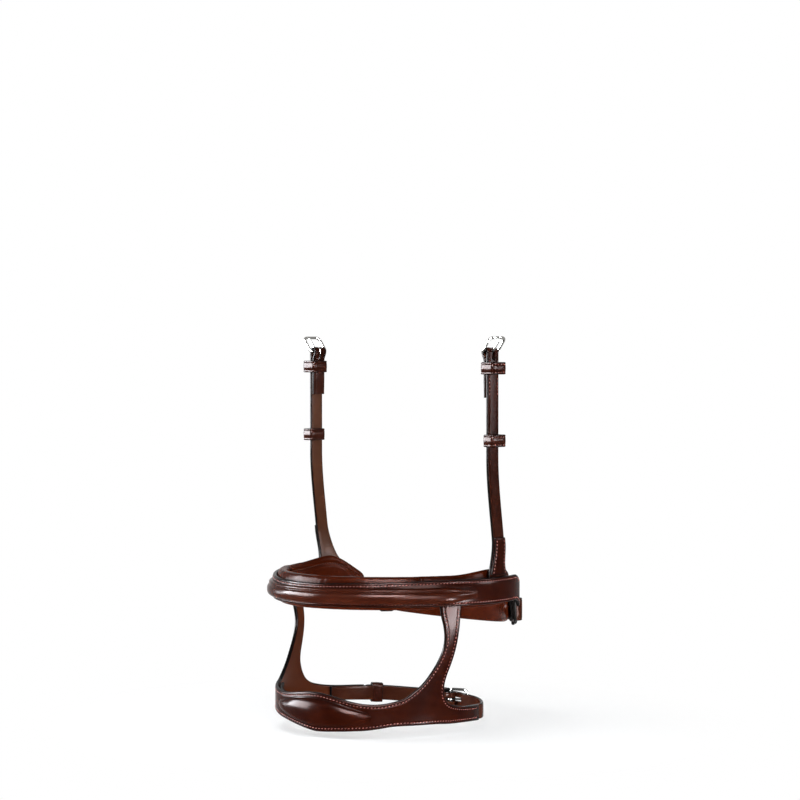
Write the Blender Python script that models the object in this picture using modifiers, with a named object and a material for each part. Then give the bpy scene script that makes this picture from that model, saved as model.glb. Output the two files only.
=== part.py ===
"""Double noseband of a riding bridle, at real size in metres, +Z up.

A padded band goes round the nose and is held up by two hangers. Two arms sewn into it carry
a lower band that closes under the chin. The origin is the middle of the lining's inner face
at the front, where the noseband rests on the nose. +X is the near (left) side of the horse
and -Y is forward. Each strap lies round an oval: a place on it is an angle in degrees from
the front, positive towards the near side, and a distance out from the oval.
"""

import math

import bmesh
import bpy
from mathutils import Matrix, Vector

COLLECTION = "double_noseband"

# Ovals that the two bands follow
UPPER_HALF_WIDTH = 0.0925
UPPER_HALF_DEPTH = 0.0914
UPPER_NARROWING_SHARE = 0.15
LOWER_HALF_WIDTH = 0.074
LOWER_HALF_DEPTH = 0.085
LOWER_FORWARD = 0.0115
LOWER_DROP = 0.096
JAW_DROP = 0.020
NEAR_DROP, OFF_DROP = (118.0, 139.8), (101.0, 139.0)
STRAP_STEP = 0.0075

# Clearances
GAP = 0.0003
RUN_GAP = 0.0005
OVERRUN = 0.004

# Upper band
BAND_LEATHER = 0.0030
BAND_HEIGHT = 0.0195
FRONT_TOP_CUT = 0.0026
BAND_END = 126.0
LINING_HEIGHT = 0.0245
LINING_THICK = 0.0086
LINING_END = 124.0
LINING_RISE = 0.0030
LINING_RISE_REACH = 25.0
POCKET_START = 63.0
FACING_END = 88.0
FACING_TAPER = 16.0
FACING_HEIGHT = 0.0120
FACING_LOWER = 0.0017
FACING_RISE = 0.0042
EDGE_CUT = 0.0006
STATION = 6.0

# Hangers
HANGER_WIDTH = 0.0120
HANGER_THICK = 0.0024
HANGER_ANGLE = 102.5
HANGER_SPREAD = 0.0042
HANGER_SPREAD_TOP = 0.038
HANGER_FORWARD = 0.0080
HANGER_BEND_TOP = 0.100
HANGER_BAR_HEIGHT = 0.178
HANGER_RETURN = 0.034
WING_TOP = 0.040
WING_DEPTH = 0.007
WING_WIDTH = 0.023
WING_FLARE_POWER = 5
WING_REAR_SHARE = 0.8
HANGER_FOOT_GAP = 0.0006
WING_PATCH_THICK = 0.0012
WING_PATCH_MARGIN = 0.0006
FIXED_KEEPER_DROP = 0.0120
RUNNER_DROP = 0.0660
BILLET_SPACE = 0.0046

# Keepers and runners
KEEPER_BAND = 0.0092
KEEPER_WALL = 0.0014
KEEPER_CORNER_SHARE = 2.4
CLOSURE_KEEPER_BAND = 0.0076

# Buckles
WIRE = 0.0022
FRAME_LENGTH = 0.0135
FRAME_SIDE_ROOM = 0.0012
FRAME_CORNER = 0.0034
TONGUE_WIRE = 0.0016
TONGUE_OVERHANG = 0.0012
TONGUE_SLOT = 0.0032
TONGUE_SLOT_RUN = 0.0022
HANGER_FRAME_TILT = 37.0

# Rings of the upper band's jaw strap
RING_WIRE = 0.0022
RING_SIDE_ROOM = 0.0005
RING_CORNER = 0.0018
RING_LENGTH = 0.0110
RING_ANGLE = 133.0
CHAPE_THICK = 0.0015
CHAPE_LENGTH = 0.024
ROLLER_RADIUS = 0.0026
ROLLER_LAY_TURN = 25.0

# Jaw strap and pad
JAW_OUT = 0.0011
JAW_WIDTH = 0.0175
JAW_THICK = 0.0022
JAW_BUCKLE_ANGLE = 192.0
JAW_RETURN = 0.016
JAW_BILLET_PAST = 0.036
JAW_RUNNER_PAST = 0.023
JAW_RING_RUN = 0.013
PAD_HEIGHT = 0.031
PAD_RAISE = 0.0015
PAD_TIP_HEIGHT = 0.004
PAD_THICK = 0.0065
PAD_NEAR_TIP, PAD_OFF_TIP = 128.0, 234.0
PAD_NEAR_STEP, PAD_OFF_STEP, PAD_STEP_RUN = 148.0, 209.0, 7.0
OFF_RING_RETURN = 0.012

# Lower band
LOWER_LEATHER = 0.0030
NOSE_HEIGHT = 0.0285
ARM_TUCK = 0.0055
TAIL_END = 112.0
LOWER_LINING_THICK = 0.0030
LOWER_LINING_INSET = 0.0012
LOWER_LINING_END = 57.0
NOSE_PAD_RISE = 0.0044
NOSE_PAD_MARGIN = 0.0032
NOSE_PAD_END = 34.0

# Chin strap under the lower band
CHIN_WIDTH = 0.0115
CHIN_THICK = 0.0024
CHIN_BUCKLE_ANGLE = 182.0
CHIN_TUCK_ANGLE = 99.0
CHIN_RISE_LENGTH = 0.015
CHIN_RETURN = 0.021
CHIN_BILLET_PAST = 0.078
CHIN_RUNNER_PAST = 0.066
CLOSURE_KEEPER_DROP = 0.0105
TIP_SHARE = 0.3
FOLD_SETTLE_SHARE = 2.2
FOLD_CLOSE_TURN = 20.0
TIP_STATION_SHARES = [0.4, 0.7, 0.88, 1.0]
HOLE_MIDDLE_SHARE = 0.31
HOLE_LENGTH_SHARE = 0.80
RUN_START_SHARE = 1.15
FORM_EASE_SHARE = 0.35
FRONT_CUT_REACH = 80.0
WING_FLARE_SHARE = 0.7
HOLE_CUT_DEPTH = 0.0144
PAD_STATION = 4.0
EDGE_BREAK = 0.0012
SHARP_ANGLE = 40.0
SIDES = [(1, "near"), (-1, "off")]

# Pattern of the lower band's near half: angle from the front and height above the chin
# strap's middle, as a share of the nose piece's height below the arm and of the drop on it
NOSE_TOP_SHARES = [(0, 0.818), (3, 0.814), (8, 0.790), (12, 0.757), (16, 0.722), (20, 0.680), (25, 0.640)]
NOSE_TOP_SHARES += [(30, 0.614), (36, 0.600), (43, 0.604), (49, 0.624), (54.5, 0.652), (60.5, 0.708)]
ARM_FRONT_SHARES = [(66.5, 0.263), (70.6, 0.322), (73.6, 0.399), (75.6, 0.477), (76.6, 0.563), (76.1, 0.647)]
ARM_FRONT_SHARES += [(74.1, 0.747), (71.9, 0.832)]
ARM_BACK_SHARES = [(81.9, 0.808), (82.9, 0.702), (83.7, 0.598), (83.9, 0.500), (83.5, 0.416), (83.0, 0.354)]
ARM_BACK_SHARES += [(82.9, 0.299), (83.3, 0.257), (84.4, 0.205), (86.6, 0.152), (90.0, 0.113), (96.0, 0.083)]
ARM_TOP_FRONT, ARM_TOP_BACK = 70.0, 81.0
NOSE_BOTTOM_SHARES = [(104, 0.202), (91.5, 0.158), (81, 0.095), (70, 0.052), (60, 0.022), (52, 0.015)]
NOSE_BOTTOM_SHARES += [(40, 0.045), (33, 0.068), (23, 0.089), (12, 0.133), (8, 0.155), (3, 0.180), (0, 0.190)]

# How the lower band hangs: its height above level at angles round it, and how many degrees it is
# turned towards the near side at angles of its pattern
HANG = [(-180, -0.0004), (-170, -0.0001), (-153, 0.0005), (-142, 0.0014), (-132, 0.0025), (-123, 0.0031)]
HANG += [(-113, 0.0038), (-102, 0.0044), (-90, 0.0046), (-70, 0.0041), (-50, 0.0035), (-30, 0.0029)]
HANG += [(-20, 0.0023), (-12, 0.0016), (-6, 0.0008), (0, 0), (12, -0.0010), (25, -0.0024), (36, -0.0030)]
HANG += [(48, -0.0027), (60, -0.0018), (75, -0.0005), (90, 0.0006), (104, 0.0014), (115, 0.0003)]
HANG += [(127, -0.0010), (142, -0.0009), (157, -0.0006), (170, -0.0006), (180, -0.0004)]
LOWER_TURN = [(-112, 0), (-103, 2.5), (-95, 4), (-84, 4.8), (-72, 5.6), (-60, 7.2), (-48, 9.6), (-36, 11.8)]
LOWER_TURN += [(-24, 12.5), (24, 12.5), (34, 11), (44, 7.2), (54, 2.8), (66, 0), (112, 0)]
EVEN_REACH = 6.0
CLOSE_STEP = 0.0005
TURN_TOP, TURN_REACH = 0.030, 0.040

COLOURS = {
    "dark_leather": ((0.085, 0.022, 0.012), 0.28, 0.0),
    "lining_leather": ((0.190, 0.055, 0.022), 0.42, 0.0),
    "strap_leather": ((0.110, 0.032, 0.016), 0.34, 0.0),
    "steel": ((0.62, 0.60, 0.56), 0.22, 1.0),
}


class Oval:
    """An egg-shaped oval seen from above, that a strap follows. It is narrower towards the front."""

    def __init__(self, half_width, half_depth, narrowing, centre_y):
        self.half_width = half_width
        self.half_depth = half_depth
        self.narrowing = narrowing
        self.centre_y = centre_y

    def rate(self, degrees):
        """How fast a point moves along the oval, for each radian."""
        turn = math.radians(degrees)
        across = self.half_width * (math.cos(turn) - self.narrowing * math.cos(2 * turn))
        return Vector((across, self.half_depth * math.sin(turn), 0))

    def tangent(self, degrees):
        return self.rate(degrees).normalized()

    def normal(self, degrees):
        tangent = self.tangent(degrees)
        return Vector((tangent.y, -tangent.x, 0))

    def at(self, degrees, out, z):
        turn = math.radians(degrees)
        x = self.half_width * math.sin(turn) * (1 - self.narrowing * math.cos(turn))
        y = self.centre_y - self.half_depth * math.cos(turn)
        return Vector((x, y, z)) + self.normal(degrees) * out

    def speed(self, degrees):
        """Distance along the oval for each degree."""
        return self.rate(degrees).length * math.radians(1)

    def after(self, degrees, distance, steps=24):
        """The angle that lies a distance further along the oval."""
        for _ in range(steps):
            middle = degrees + distance / steps / self.speed(degrees) / 2
            degrees += distance / steps / self.speed(middle)
        return degrees


def eased(share):
    share = min(max(share, 0.0), 1.0)
    return share * share * (3 - 2 * share)


def between(low, high, share):
    return low + (high - low) * share


LINING_BACK = GAP + LINING_THICK
CENTRED_UPPER = Oval(UPPER_HALF_WIDTH, UPPER_HALF_DEPTH, UPPER_NARROWING_SHARE, 0)
UPPER_Y = -CENTRED_UPPER.at(STATION / 2, -LINING_BACK, 0).y
UPPER = Oval(UPPER_HALF_WIDTH, UPPER_HALF_DEPTH, UPPER_NARROWING_SHARE, UPPER_Y)
LOWER = Oval(LOWER_HALF_WIDTH, LOWER_HALF_DEPTH, 0, UPPER_Y - LOWER_FORWARD)
CHIN_Z = -LOWER_DROP


def form(z):
    """The oval of the outer face of the arms and the lower band at a height."""
    top = -BAND_HEIGHT / 2
    bottom = CHIN_Z + CHIN_WIDTH / 2
    share = min(max((top - z) / (top - bottom), 0.0), 1.0)
    share = between(share, eased(share), FORM_EASE_SHARE)
    return Oval(
        between(UPPER.half_width - GAP, LOWER.half_width, share),
        between(UPPER.half_depth - GAP, LOWER.half_depth, share),
        between(UPPER.narrowing, LOWER.narrowing, share),
        between(UPPER.centre_y, LOWER.centre_y, share),
    )


def band_middle(degrees):
    """Height of the upper band's middle line, which drops towards the jaw, later on the near side."""
    near = 0 <= degrees <= 180
    away = abs(degrees) if abs(degrees) <= 180 else 360 - abs(degrees)
    start, end = NEAR_DROP if near else OFF_DROP
    return -JAW_DROP * eased((away - start) / (end - start))


def material(slot):
    found = bpy.data.materials.get(slot)
    if found:
        return found
    colour, roughness, metallic = COLOURS[slot]
    made = bpy.data.materials.new(slot)
    made.use_nodes = True
    shader = made.node_tree.nodes["Principled BSDF"]
    shader.inputs["Base Color"].default_value = (*colour, 1)
    shader.inputs["Roughness"].default_value = roughness
    shader.inputs["Metallic"].default_value = metallic
    return made


def collection(name):
    found = bpy.data.collections.get(name)
    if not found:
        found = bpy.data.collections.new(name)
        bpy.context.scene.collection.children.link(found)
    return found


def add_object(name, data, slot, matrix=None):
    made = bpy.data.objects.new(name, data)
    collection(COLLECTION).objects.link(made)
    made.data.materials.append(material(slot))
    if matrix:
        made.matrix_world = matrix
    if made.type == "MESH":
        made.data.shade_smooth()
        made.data.set_sharp_from_angle(angle=math.radians(SHARP_ANGLE))
    return made


def mesh_from(name, shape):
    mesh = bpy.data.meshes.new(name)
    bmesh.ops.recalc_face_normals(shape, faces=shape.faces)
    shape.to_mesh(mesh)
    shape.free()
    return mesh


def loft(name, sections, slot, matrix=None, closed=False):
    """A solid through closed sections with the same number of points."""
    shape = bmesh.new()
    rings = [[shape.verts.new(point) for point in section] for section in sections]
    count = len(rings[0])
    pairs = list(zip(rings, rings[1:]))
    if closed:
        pairs.append((rings[-1], rings[0]))
    for first, second in pairs:
        for i in range(count):
            j = (i + 1) % count
            shape.faces.new((first[i], first[j], second[j], second[i]))
    if not closed:
        shape.faces.new(rings[0])
        shape.faces.new(rings[-1])
    return add_object(name, mesh_from(name, shape), slot, matrix)


def grid_sheet(name, rows, slot, thickness, matrix=None):
    """A sheet through rows of points, thickened evenly to both sides."""
    shape = bmesh.new()
    made = [[shape.verts.new(point) for point in row] for row in rows]
    for first, second in zip(made, made[1:]):
        for i in range(len(first) - 1):
            shape.faces.new((first[i], first[i + 1], second[i + 1], second[i]))
    sheet = add_object(name, mesh_from(name, shape), slot, matrix)
    solidify(sheet, thickness, 0)
    return sheet


def solidify(thing, thickness, side):
    """Side is -1, 0 or 1: which side of the sheet the thickness lies on."""
    modifier = thing.modifiers.new("thickness", "SOLIDIFY")
    modifier.thickness = thickness
    modifier.offset = side
    modifier.use_even_offset = True


def wire(name, points, diameter, slot, matrix=None, cyclic=False, resolution=2):
    """A round wire along points."""
    curve = bpy.data.curves.new(name, "CURVE")
    curve.dimensions = "3D"
    curve.bevel_depth = diameter / 2
    curve.bevel_resolution = resolution
    curve.use_fill_caps = not cyclic
    spline = curve.splines.new("POLY")
    spline.points.add(len(points) - 1)
    for place, point in zip(spline.points, points):
        place.co = (*point, 1)
    spline.use_cyclic_u = cyclic
    return add_object(name, curve, slot, matrix)


def cut(thing, cutter):
    modifier = thing.modifiers.new("cut", "BOOLEAN")
    modifier.operation = "DIFFERENCE"
    modifier.object = cutter


def box_cutter(name, size, matrix):
    """A box to cut with: size is its full length on each axis, centred on the matrix."""
    shape = bmesh.new()
    bmesh.ops.create_cube(shape, size=1)
    bmesh.ops.scale(shape, vec=size, verts=shape.verts)
    made = bpy.data.objects.new(name, mesh_from(name, shape))
    collection("cutters").objects.link(made)
    made.matrix_world = matrix
    made.hide_render = True
    made.display_type = "WIRE"
    return made


def arc(centre, radius, start, end, steps):
    """Points of an arc in a plane, between two angles in degrees."""
    turns = [math.radians(between(start, end, i / steps)) for i in range(steps + 1)]
    return [(centre[0] + radius * math.cos(t), centre[1] + radius * math.sin(t)) for t in turns]


def frame_matrix(origin, along, out):
    """A place with its x along a strap, its y out from it and its z across it."""
    along = along.normalized()
    across = along.cross(out).normalized()
    out = across.cross(along)
    rows = [(along[i], out[i], across[i], origin[i]) for i in range(3)]
    return Matrix((*rows, (0, 0, 0, 1)))


def span(start, end, step):
    """Even stations from start to end, no further apart than a step."""
    count = max(1, math.ceil(abs(end - start) / step - 1e-6))
    return [between(start, end, i / count) for i in range(count + 1)]


def read_shares(table, degrees):
    """Reads a table of (angle, share) at an angle, along smooth stretches."""
    table = sorted(table)
    if degrees <= table[0][0]:
        return table[0][1]
    for (low, first), (high, second) in zip(table, table[1:]):
        if degrees <= high:
            return between(first, second, (degrees - low) / (high - low))
    return table[-1][1]


# Upper band


def band_edges(degrees):
    """Bottom and top of the upper band's leather. Its front is cut lower for the roll of the lining."""
    front = 1 - eased(abs(degrees) / FRONT_CUT_REACH)
    middle = band_middle(degrees)
    return middle - BAND_HEIGHT / 2, middle + BAND_HEIGHT / 2 - FRONT_TOP_CUT * front


def upper_band_leather():
    sections = []
    for degrees in span(-BAND_END, BAND_END, STATION):
        low, high = band_edges(degrees)
        inner, outer = GAP / 2, GAP / 2 + BAND_LEATHER
        corners = [
            (inner, low),
            (outer - EDGE_CUT, low),
            (outer, low + EDGE_CUT),
            (outer, high - EDGE_CUT),
            (outer - EDGE_CUT, high),
            (inner, high),
        ]
        sections.append([UPPER.at(degrees, out, z) for out, z in corners])
    return loft("upper_band_leather", sections, "dark_leather")


def facing_section(share):
    """Ridge of the facing, as (out, height) pairs, where share is 1 in its full stretch and 0 at its end."""
    base = GAP / 2 + BAND_LEATHER + GAP
    middle = -FACING_LOWER
    rise = FACING_RISE * between(0.15, 1, share)
    half = FACING_HEIGHT / 2 * between(0.45, 1, share)
    ridge_shares = [(-1, 0), (-0.92, 0.45), (-0.6, 0.9), (-0.1, 1.0), (0.35, 0.86), (0.52, 0.55)]
    ridge_shares += [(0.72, 0.62), (0.93, 0.35), (1, 0)]
    return [(base + rise * out, middle + half * up) for up, out in ridge_shares]


def upper_band_facing():
    sections = []
    for degrees in span(-FACING_END, FACING_END, STATION):
        share = eased((FACING_END - abs(degrees)) / FACING_TAPER)
        sections.append([UPPER.at(degrees, out, z) for out, z in facing_section(share)])
    return loft("upper_band_facing", sections, "dark_leather")


def pocket_depth():
    """How far in the lining lies where the hangers, arms and ring chapes are sewn in."""
    return 2 * CHAPE_THICK + 3 * GAP


def lining_section(degrees):
    """The padded lining's section, with its rolled edges."""
    middle = band_middle(degrees)
    rise = LINING_RISE * eased(1 - abs(abs(degrees) - HANGER_ANGLE) / LINING_RISE_REACH)
    low, high = middle - LINING_HEIGHT / 2, middle + LINING_HEIGHT / 2 + rise
    front = GAP + (pocket_depth() - GAP) * eased((abs(degrees) - POCKET_START) / 3 + 1)
    back = LINING_BACK
    roll = LINING_HEIGHT * 0.09
    return [
        (-front, low + roll),
        (-front - roll * 0.6, low),
        (-back + roll * 0.6, low),
        (-back, low + roll),
        (-back, high - roll),
        (-back + roll * 0.6, high),
        (-front - roll * 0.6, high),
        (-front, high - roll),
    ]


def lining_stations():
    """Even stations with a flat facet in the middle, and the ends of the lining."""
    half = [STATION * (i + 0.5) for i in range(int(LINING_END / STATION))] + [LINING_END]
    return [-degrees for degrees in reversed(half)] + half


def upper_band_lining():
    sections = []
    for degrees in lining_stations():
        sections.append([UPPER.at(degrees, out, z) for out, z in lining_section(degrees)])
    return loft("upper_band_lining", sections, "lining_leather")


# Hangers: side is 1 for the near side and -1 for the off side


def hanger_point(side, across, z):
    """The middle of a hanger's leather: round the oval at its foot, and straight up above its bend."""
    out = -GAP - HANGER_THICK / 2
    foot_angle = HANGER_ANGLE + across / UPPER.speed(HANGER_ANGLE)
    foot = UPPER.at(foot_angle, out, z)
    root = UPPER.at(HANGER_ANGLE, out, z)
    top = Vector((root.x + HANGER_SPREAD, root.y + across, z))
    low = BAND_HEIGHT / 2
    point = foot.lerp(top, eased((z - low) / (HANGER_SPREAD_TOP - low)))
    forward = HANGER_FORWARD * eased((z - low) / (HANGER_BEND_TOP - low))
    return Vector((side * point.x, point.y - forward, point.z))


def hanger_columns(width):
    """Places across a strap."""
    return [width * share for share in (-0.5, -0.25, 0, 0.25, 0.5)]


def wing_columns(z, margin=0.0):
    """Places across the wing: it flares towards the band, mostly at its rear edge."""
    share = min((WING_TOP - z) / (WING_TOP - BAND_HEIGHT / 2), 1.0)
    flare = (WING_WIDTH - HANGER_WIDTH) * between(share, share**WING_FLARE_POWER, WING_FLARE_SHARE)
    front = -HANGER_WIDTH / 2 - flare * (1 - WING_REAR_SHARE) + margin
    rear = HANGER_WIDTH / 2 + flare * WING_REAR_SHARE - margin
    return [between(front, rear, share) for share in (0, 0.25, 0.5, 0.75, 1)]


def wing(side, name):
    rows = []
    for z in span(-WING_DEPTH, WING_TOP, WING_TOP / 8):
        rows.append([hanger_point(side, across, z) for across in wing_columns(z)])
    return grid_sheet(f"{name}_wing", rows, "dark_leather", HANGER_THICK)


def wing_patch(side, name):
    """The stitched patch over the seam of wing and hanger."""
    rows = []
    lift = HANGER_THICK / 2 + GAP + WING_PATCH_THICK / 2
    low = BAND_HEIGHT / 2 + GAP + LINING_RISE / 2
    outward = UPPER.normal(HANGER_ANGLE)
    outward = Vector((side * outward.x, outward.y, 0))
    for z in span(low, WING_TOP - WING_PATCH_MARGIN, WING_TOP / 5):
        columns = wing_columns(z, WING_PATCH_MARGIN)
        rows.append([hanger_point(side, across, z) + outward * lift for across in columns])
    return grid_sheet(f"{name}_wing_patch", rows, "dark_leather", WING_PATCH_THICK)


def fold_radius(thickness, wire_diameter):
    """Radius of a strap's middle where it is folded round a wire."""
    return wire_diameter / 2 + GAP + thickness / 2


def fold_back_out(thickness, wire_diameter):
    """How far out the middle of the returning layer lies, next to the strap that it is sewn to."""
    return fold_radius(thickness, wire_diameter) - thickness - GAP


def fold_arc(radius):
    """A strap's middle round a wire at (0, 0), from outside it to inside it: (along, out) pairs."""
    return arc((0, 0), radius, 90, -90 - FOLD_CLOSE_TURN, 9)


def fold_back(thickness, wire_diameter, back):
    """The layer that returns from a fold, as (along, out) pairs."""
    settled = fold_back_out(thickness, wire_diameter)
    return [(-station, settled) for station in span(fold_settle(thickness, wire_diameter), back, STRAP_STEP)]


def fold_settle(thickness, wire_diameter):
    """Distance from the wire at which a returning layer lies against its strap."""
    return FOLD_SETTLE_SHARE * fold_radius(thickness, wire_diameter)


def flex_point(side):
    """Where a hanger starts to bend, just above its wing."""
    return hanger_point(side, 0, WING_TOP + HANGER_FOOT_GAP)


def turn_about(thing, point):
    """Puts an object's origin on its joint's axis and leaves its shape where it is."""
    place = Matrix.Translation(point)
    thing.data.transform(place.inverted() @ thing.matrix_world)
    thing.matrix_world = place


def hanger_matrix(side, z):
    """A place on a hanger's buckle line: x up, y outward."""
    middle = hanger_point(side, 0, max(z, HANGER_BEND_TOP))
    inset = fold_radius(HANGER_THICK, WIRE)
    origin = Vector((middle.x - side * inset, middle.y, z))
    return frame_matrix(origin, Vector((0, 0, 1)), Vector((side, 0, 0)))


def hanger_strap(side, name):
    """The hanger from just above its wing, with its top folded round the buckle's bar."""
    straight = (HANGER_BEND_TOP + HANGER_BAR_HEIGHT) / 2
    heights = span(WING_TOP + HANGER_FOOT_GAP, HANGER_BEND_TOP, STRAP_STEP) + [straight]
    rows = []
    for z in heights:
        rows.append([hanger_point(side, across, z) for across in hanger_columns(HANGER_WIDTH)])
    place = hanger_matrix(side, HANGER_BAR_HEIGHT)
    fold = fold_arc(fold_radius(HANGER_THICK, WIRE)) + fold_back(HANGER_THICK, WIRE, HANGER_RETURN)
    for along, out in fold:
        rows.append([place @ Vector((along, out, side * across)) for across in hanger_columns(HANGER_WIDTH)])
    strap = grid_sheet(f"{name}_hanger_strap", rows, "strap_leather", HANGER_THICK)
    slot_fold(strap, place, HANGER_THICK, WIRE)
    turn_about(strap, flex_point(side))


def slot_fold(strap, place, thickness, wire_diameter):
    """Cuts the slot that lets a tongue through the fold at a buckle's bar."""
    reach = fold_radius(thickness, wire_diameter) + thickness / 2 + GAP
    size = (2 * reach + TONGUE_SLOT_RUN, 2 * reach + OVERRUN, TONGUE_SLOT)
    place = place @ Matrix.Translation((-TONGUE_SLOT_RUN / 2, 0, 0))
    cut(strap, box_cutter(f"{strap.name}_slot", size, place))


def keeper(name, place, low, high, width, band, gap=GAP):
    """A leather loop round straps: low and high are how far out its inside reaches, at the place given."""
    inner_low, inner_high = low - gap, high + gap
    half = width / 2 + gap
    corner = gap * KEEPER_CORNER_SHARE
    corners = [
        (inner_high - corner, half - corner, 0),
        (inner_low + corner, half - corner, 90),
        (inner_low + corner, -half + corner, 180),
        (inner_high - corner, -half + corner, 270),
    ]
    ring = []
    for out, across, start in corners:
        ring += arc((out, across), corner, start, start + 90, 3)
    sections = []
    for out, across in ring:
        direction = wall_direction(out, across, inner_low, inner_high, half, corner)
        outer = (out + direction[0] * KEEPER_WALL, across + direction[1] * KEEPER_WALL)
        edge = EDGE_CUT / 2
        sections.append([
            Vector((-band / 2, out, across)),
            Vector((band / 2, out, across)),
            Vector((band / 2 - edge, *outer)),
            Vector((-band / 2 + edge, *outer)),
        ])
    return loft(name, sections, "strap_leather", place, closed=True)


def wall_direction(out, across, low, high, half, corner):
    """The way a keeper's wall faces at a point of its inside."""
    centre_out = min(max(out, low + corner), high - corner)
    centre_across = min(max(across, -half + corner), half - corner)
    way = Vector((out - centre_out, across - centre_across))
    return way.normalized()


def frame_half_width(strap_width, diameter):
    """From a buckle frame's middle to the middle of its side wire."""
    return strap_width / 2 + FRAME_SIDE_ROOM + diameter / 2


def rounded_loop(length, half, corner):
    """A loop in the plane of a strap: its bar lies on x = 0 and its far end at x = length."""
    loop = []
    loop += arc((length - corner, half - corner), corner, 90, 0, 4)
    loop += arc((length - corner, -half + corner), corner, 0, -90, 4)
    near = corner * 0.5
    loop += arc((near, -half + near), near, -90, -180, 2)
    loop += arc((near, half - near), near, 180, 90, 2)
    return loop


def tilted(place, degrees):
    """The place turned so that its x rises outward."""
    return place @ Matrix.Rotation(math.radians(degrees), 4, "Z")


def buckle_frame(name, place, strap_width, tilt):
    half = frame_half_width(strap_width, WIRE)
    points = [(x, 0, across) for x, across in rounded_loop(FRAME_LENGTH, half, FRAME_CORNER)]
    return wire(name, points, WIRE, "steel", tilted(place, tilt), cyclic=True)


def tongue_rise():
    """How far above the frame's plane the tongue's end lies."""
    return WIRE / 2 + GAP + TONGUE_WIRE / 2


def buckle_tongue(name, place, tilt):
    """The tongue wraps the bar and lies on the far end of the frame."""
    radius = WIRE / 2 + GAP + TONGUE_WIRE / 2
    hook = arc((0, 0), radius, -20, -250, 8)
    end = (FRAME_LENGTH + TONGUE_OVERHANG + TONGUE_WIRE / 2, tongue_rise())
    points = [(x, out, 0) for x, out in (*hook, end)]
    return wire(name, points, TONGUE_WIRE, "steel", tilted(place, tilt), resolution=1)


def hanger(side, name):
    wing(side, name)
    wing_patch(side, name)
    hanger_strap(side, name)
    radius = fold_radius(HANGER_THICK, WIRE)
    outer = radius + HANGER_THICK / 2
    doubled = outer - 2 * HANGER_THICK - GAP
    place = hanger_matrix(side, HANGER_BAR_HEIGHT - FIXED_KEEPER_DROP)
    sewn = keeper(f"{name}_hanger_keeper", place, doubled, outer + BILLET_SPACE, HANGER_WIDTH, KEEPER_BAND)
    turn_about(sewn, flex_point(side))
    place = hanger_matrix(side, HANGER_BAR_HEIGHT - RUNNER_DROP)
    single = outer - HANGER_THICK
    keeper(f"{name}_hanger_runner", place, single, outer + BILLET_SPACE, HANGER_WIDTH, KEEPER_BAND)
    place = hanger_matrix(side, HANGER_BAR_HEIGHT)
    buckle_frame(f"{name}_hanger_buckle_frame", place, HANGER_WIDTH, HANGER_FRAME_TILT)
    buckle_tongue(f"{name}_hanger_buckle_tongue", place, HANGER_FRAME_TILT)


# Straps that run round an oval


def strap_round(name, path, width, thickness, slot, tip=0.0):
    """A strap whose path is a list of points along its middle, rounded at its far end over a tip length."""
    length = sum((second - first).length for first, second in zip(path, path[1:]))
    done = 0.0
    rows = []
    for i, point in enumerate(path):
        done += (point - path[i - 1]).length if i else 0.0
        narrowing = max(0.0, 1 - (length - done) / tip) if tip else 0.0
        half = width / 2 * max(math.sqrt(1 - narrowing**2), TIP_SHARE)
        rows.append([point + Vector((0, 0, half * share)) for share in (-1, -0.5, 0, 0.5, 1)])
    return grid_sheet(name, rows, slot, thickness)


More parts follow.
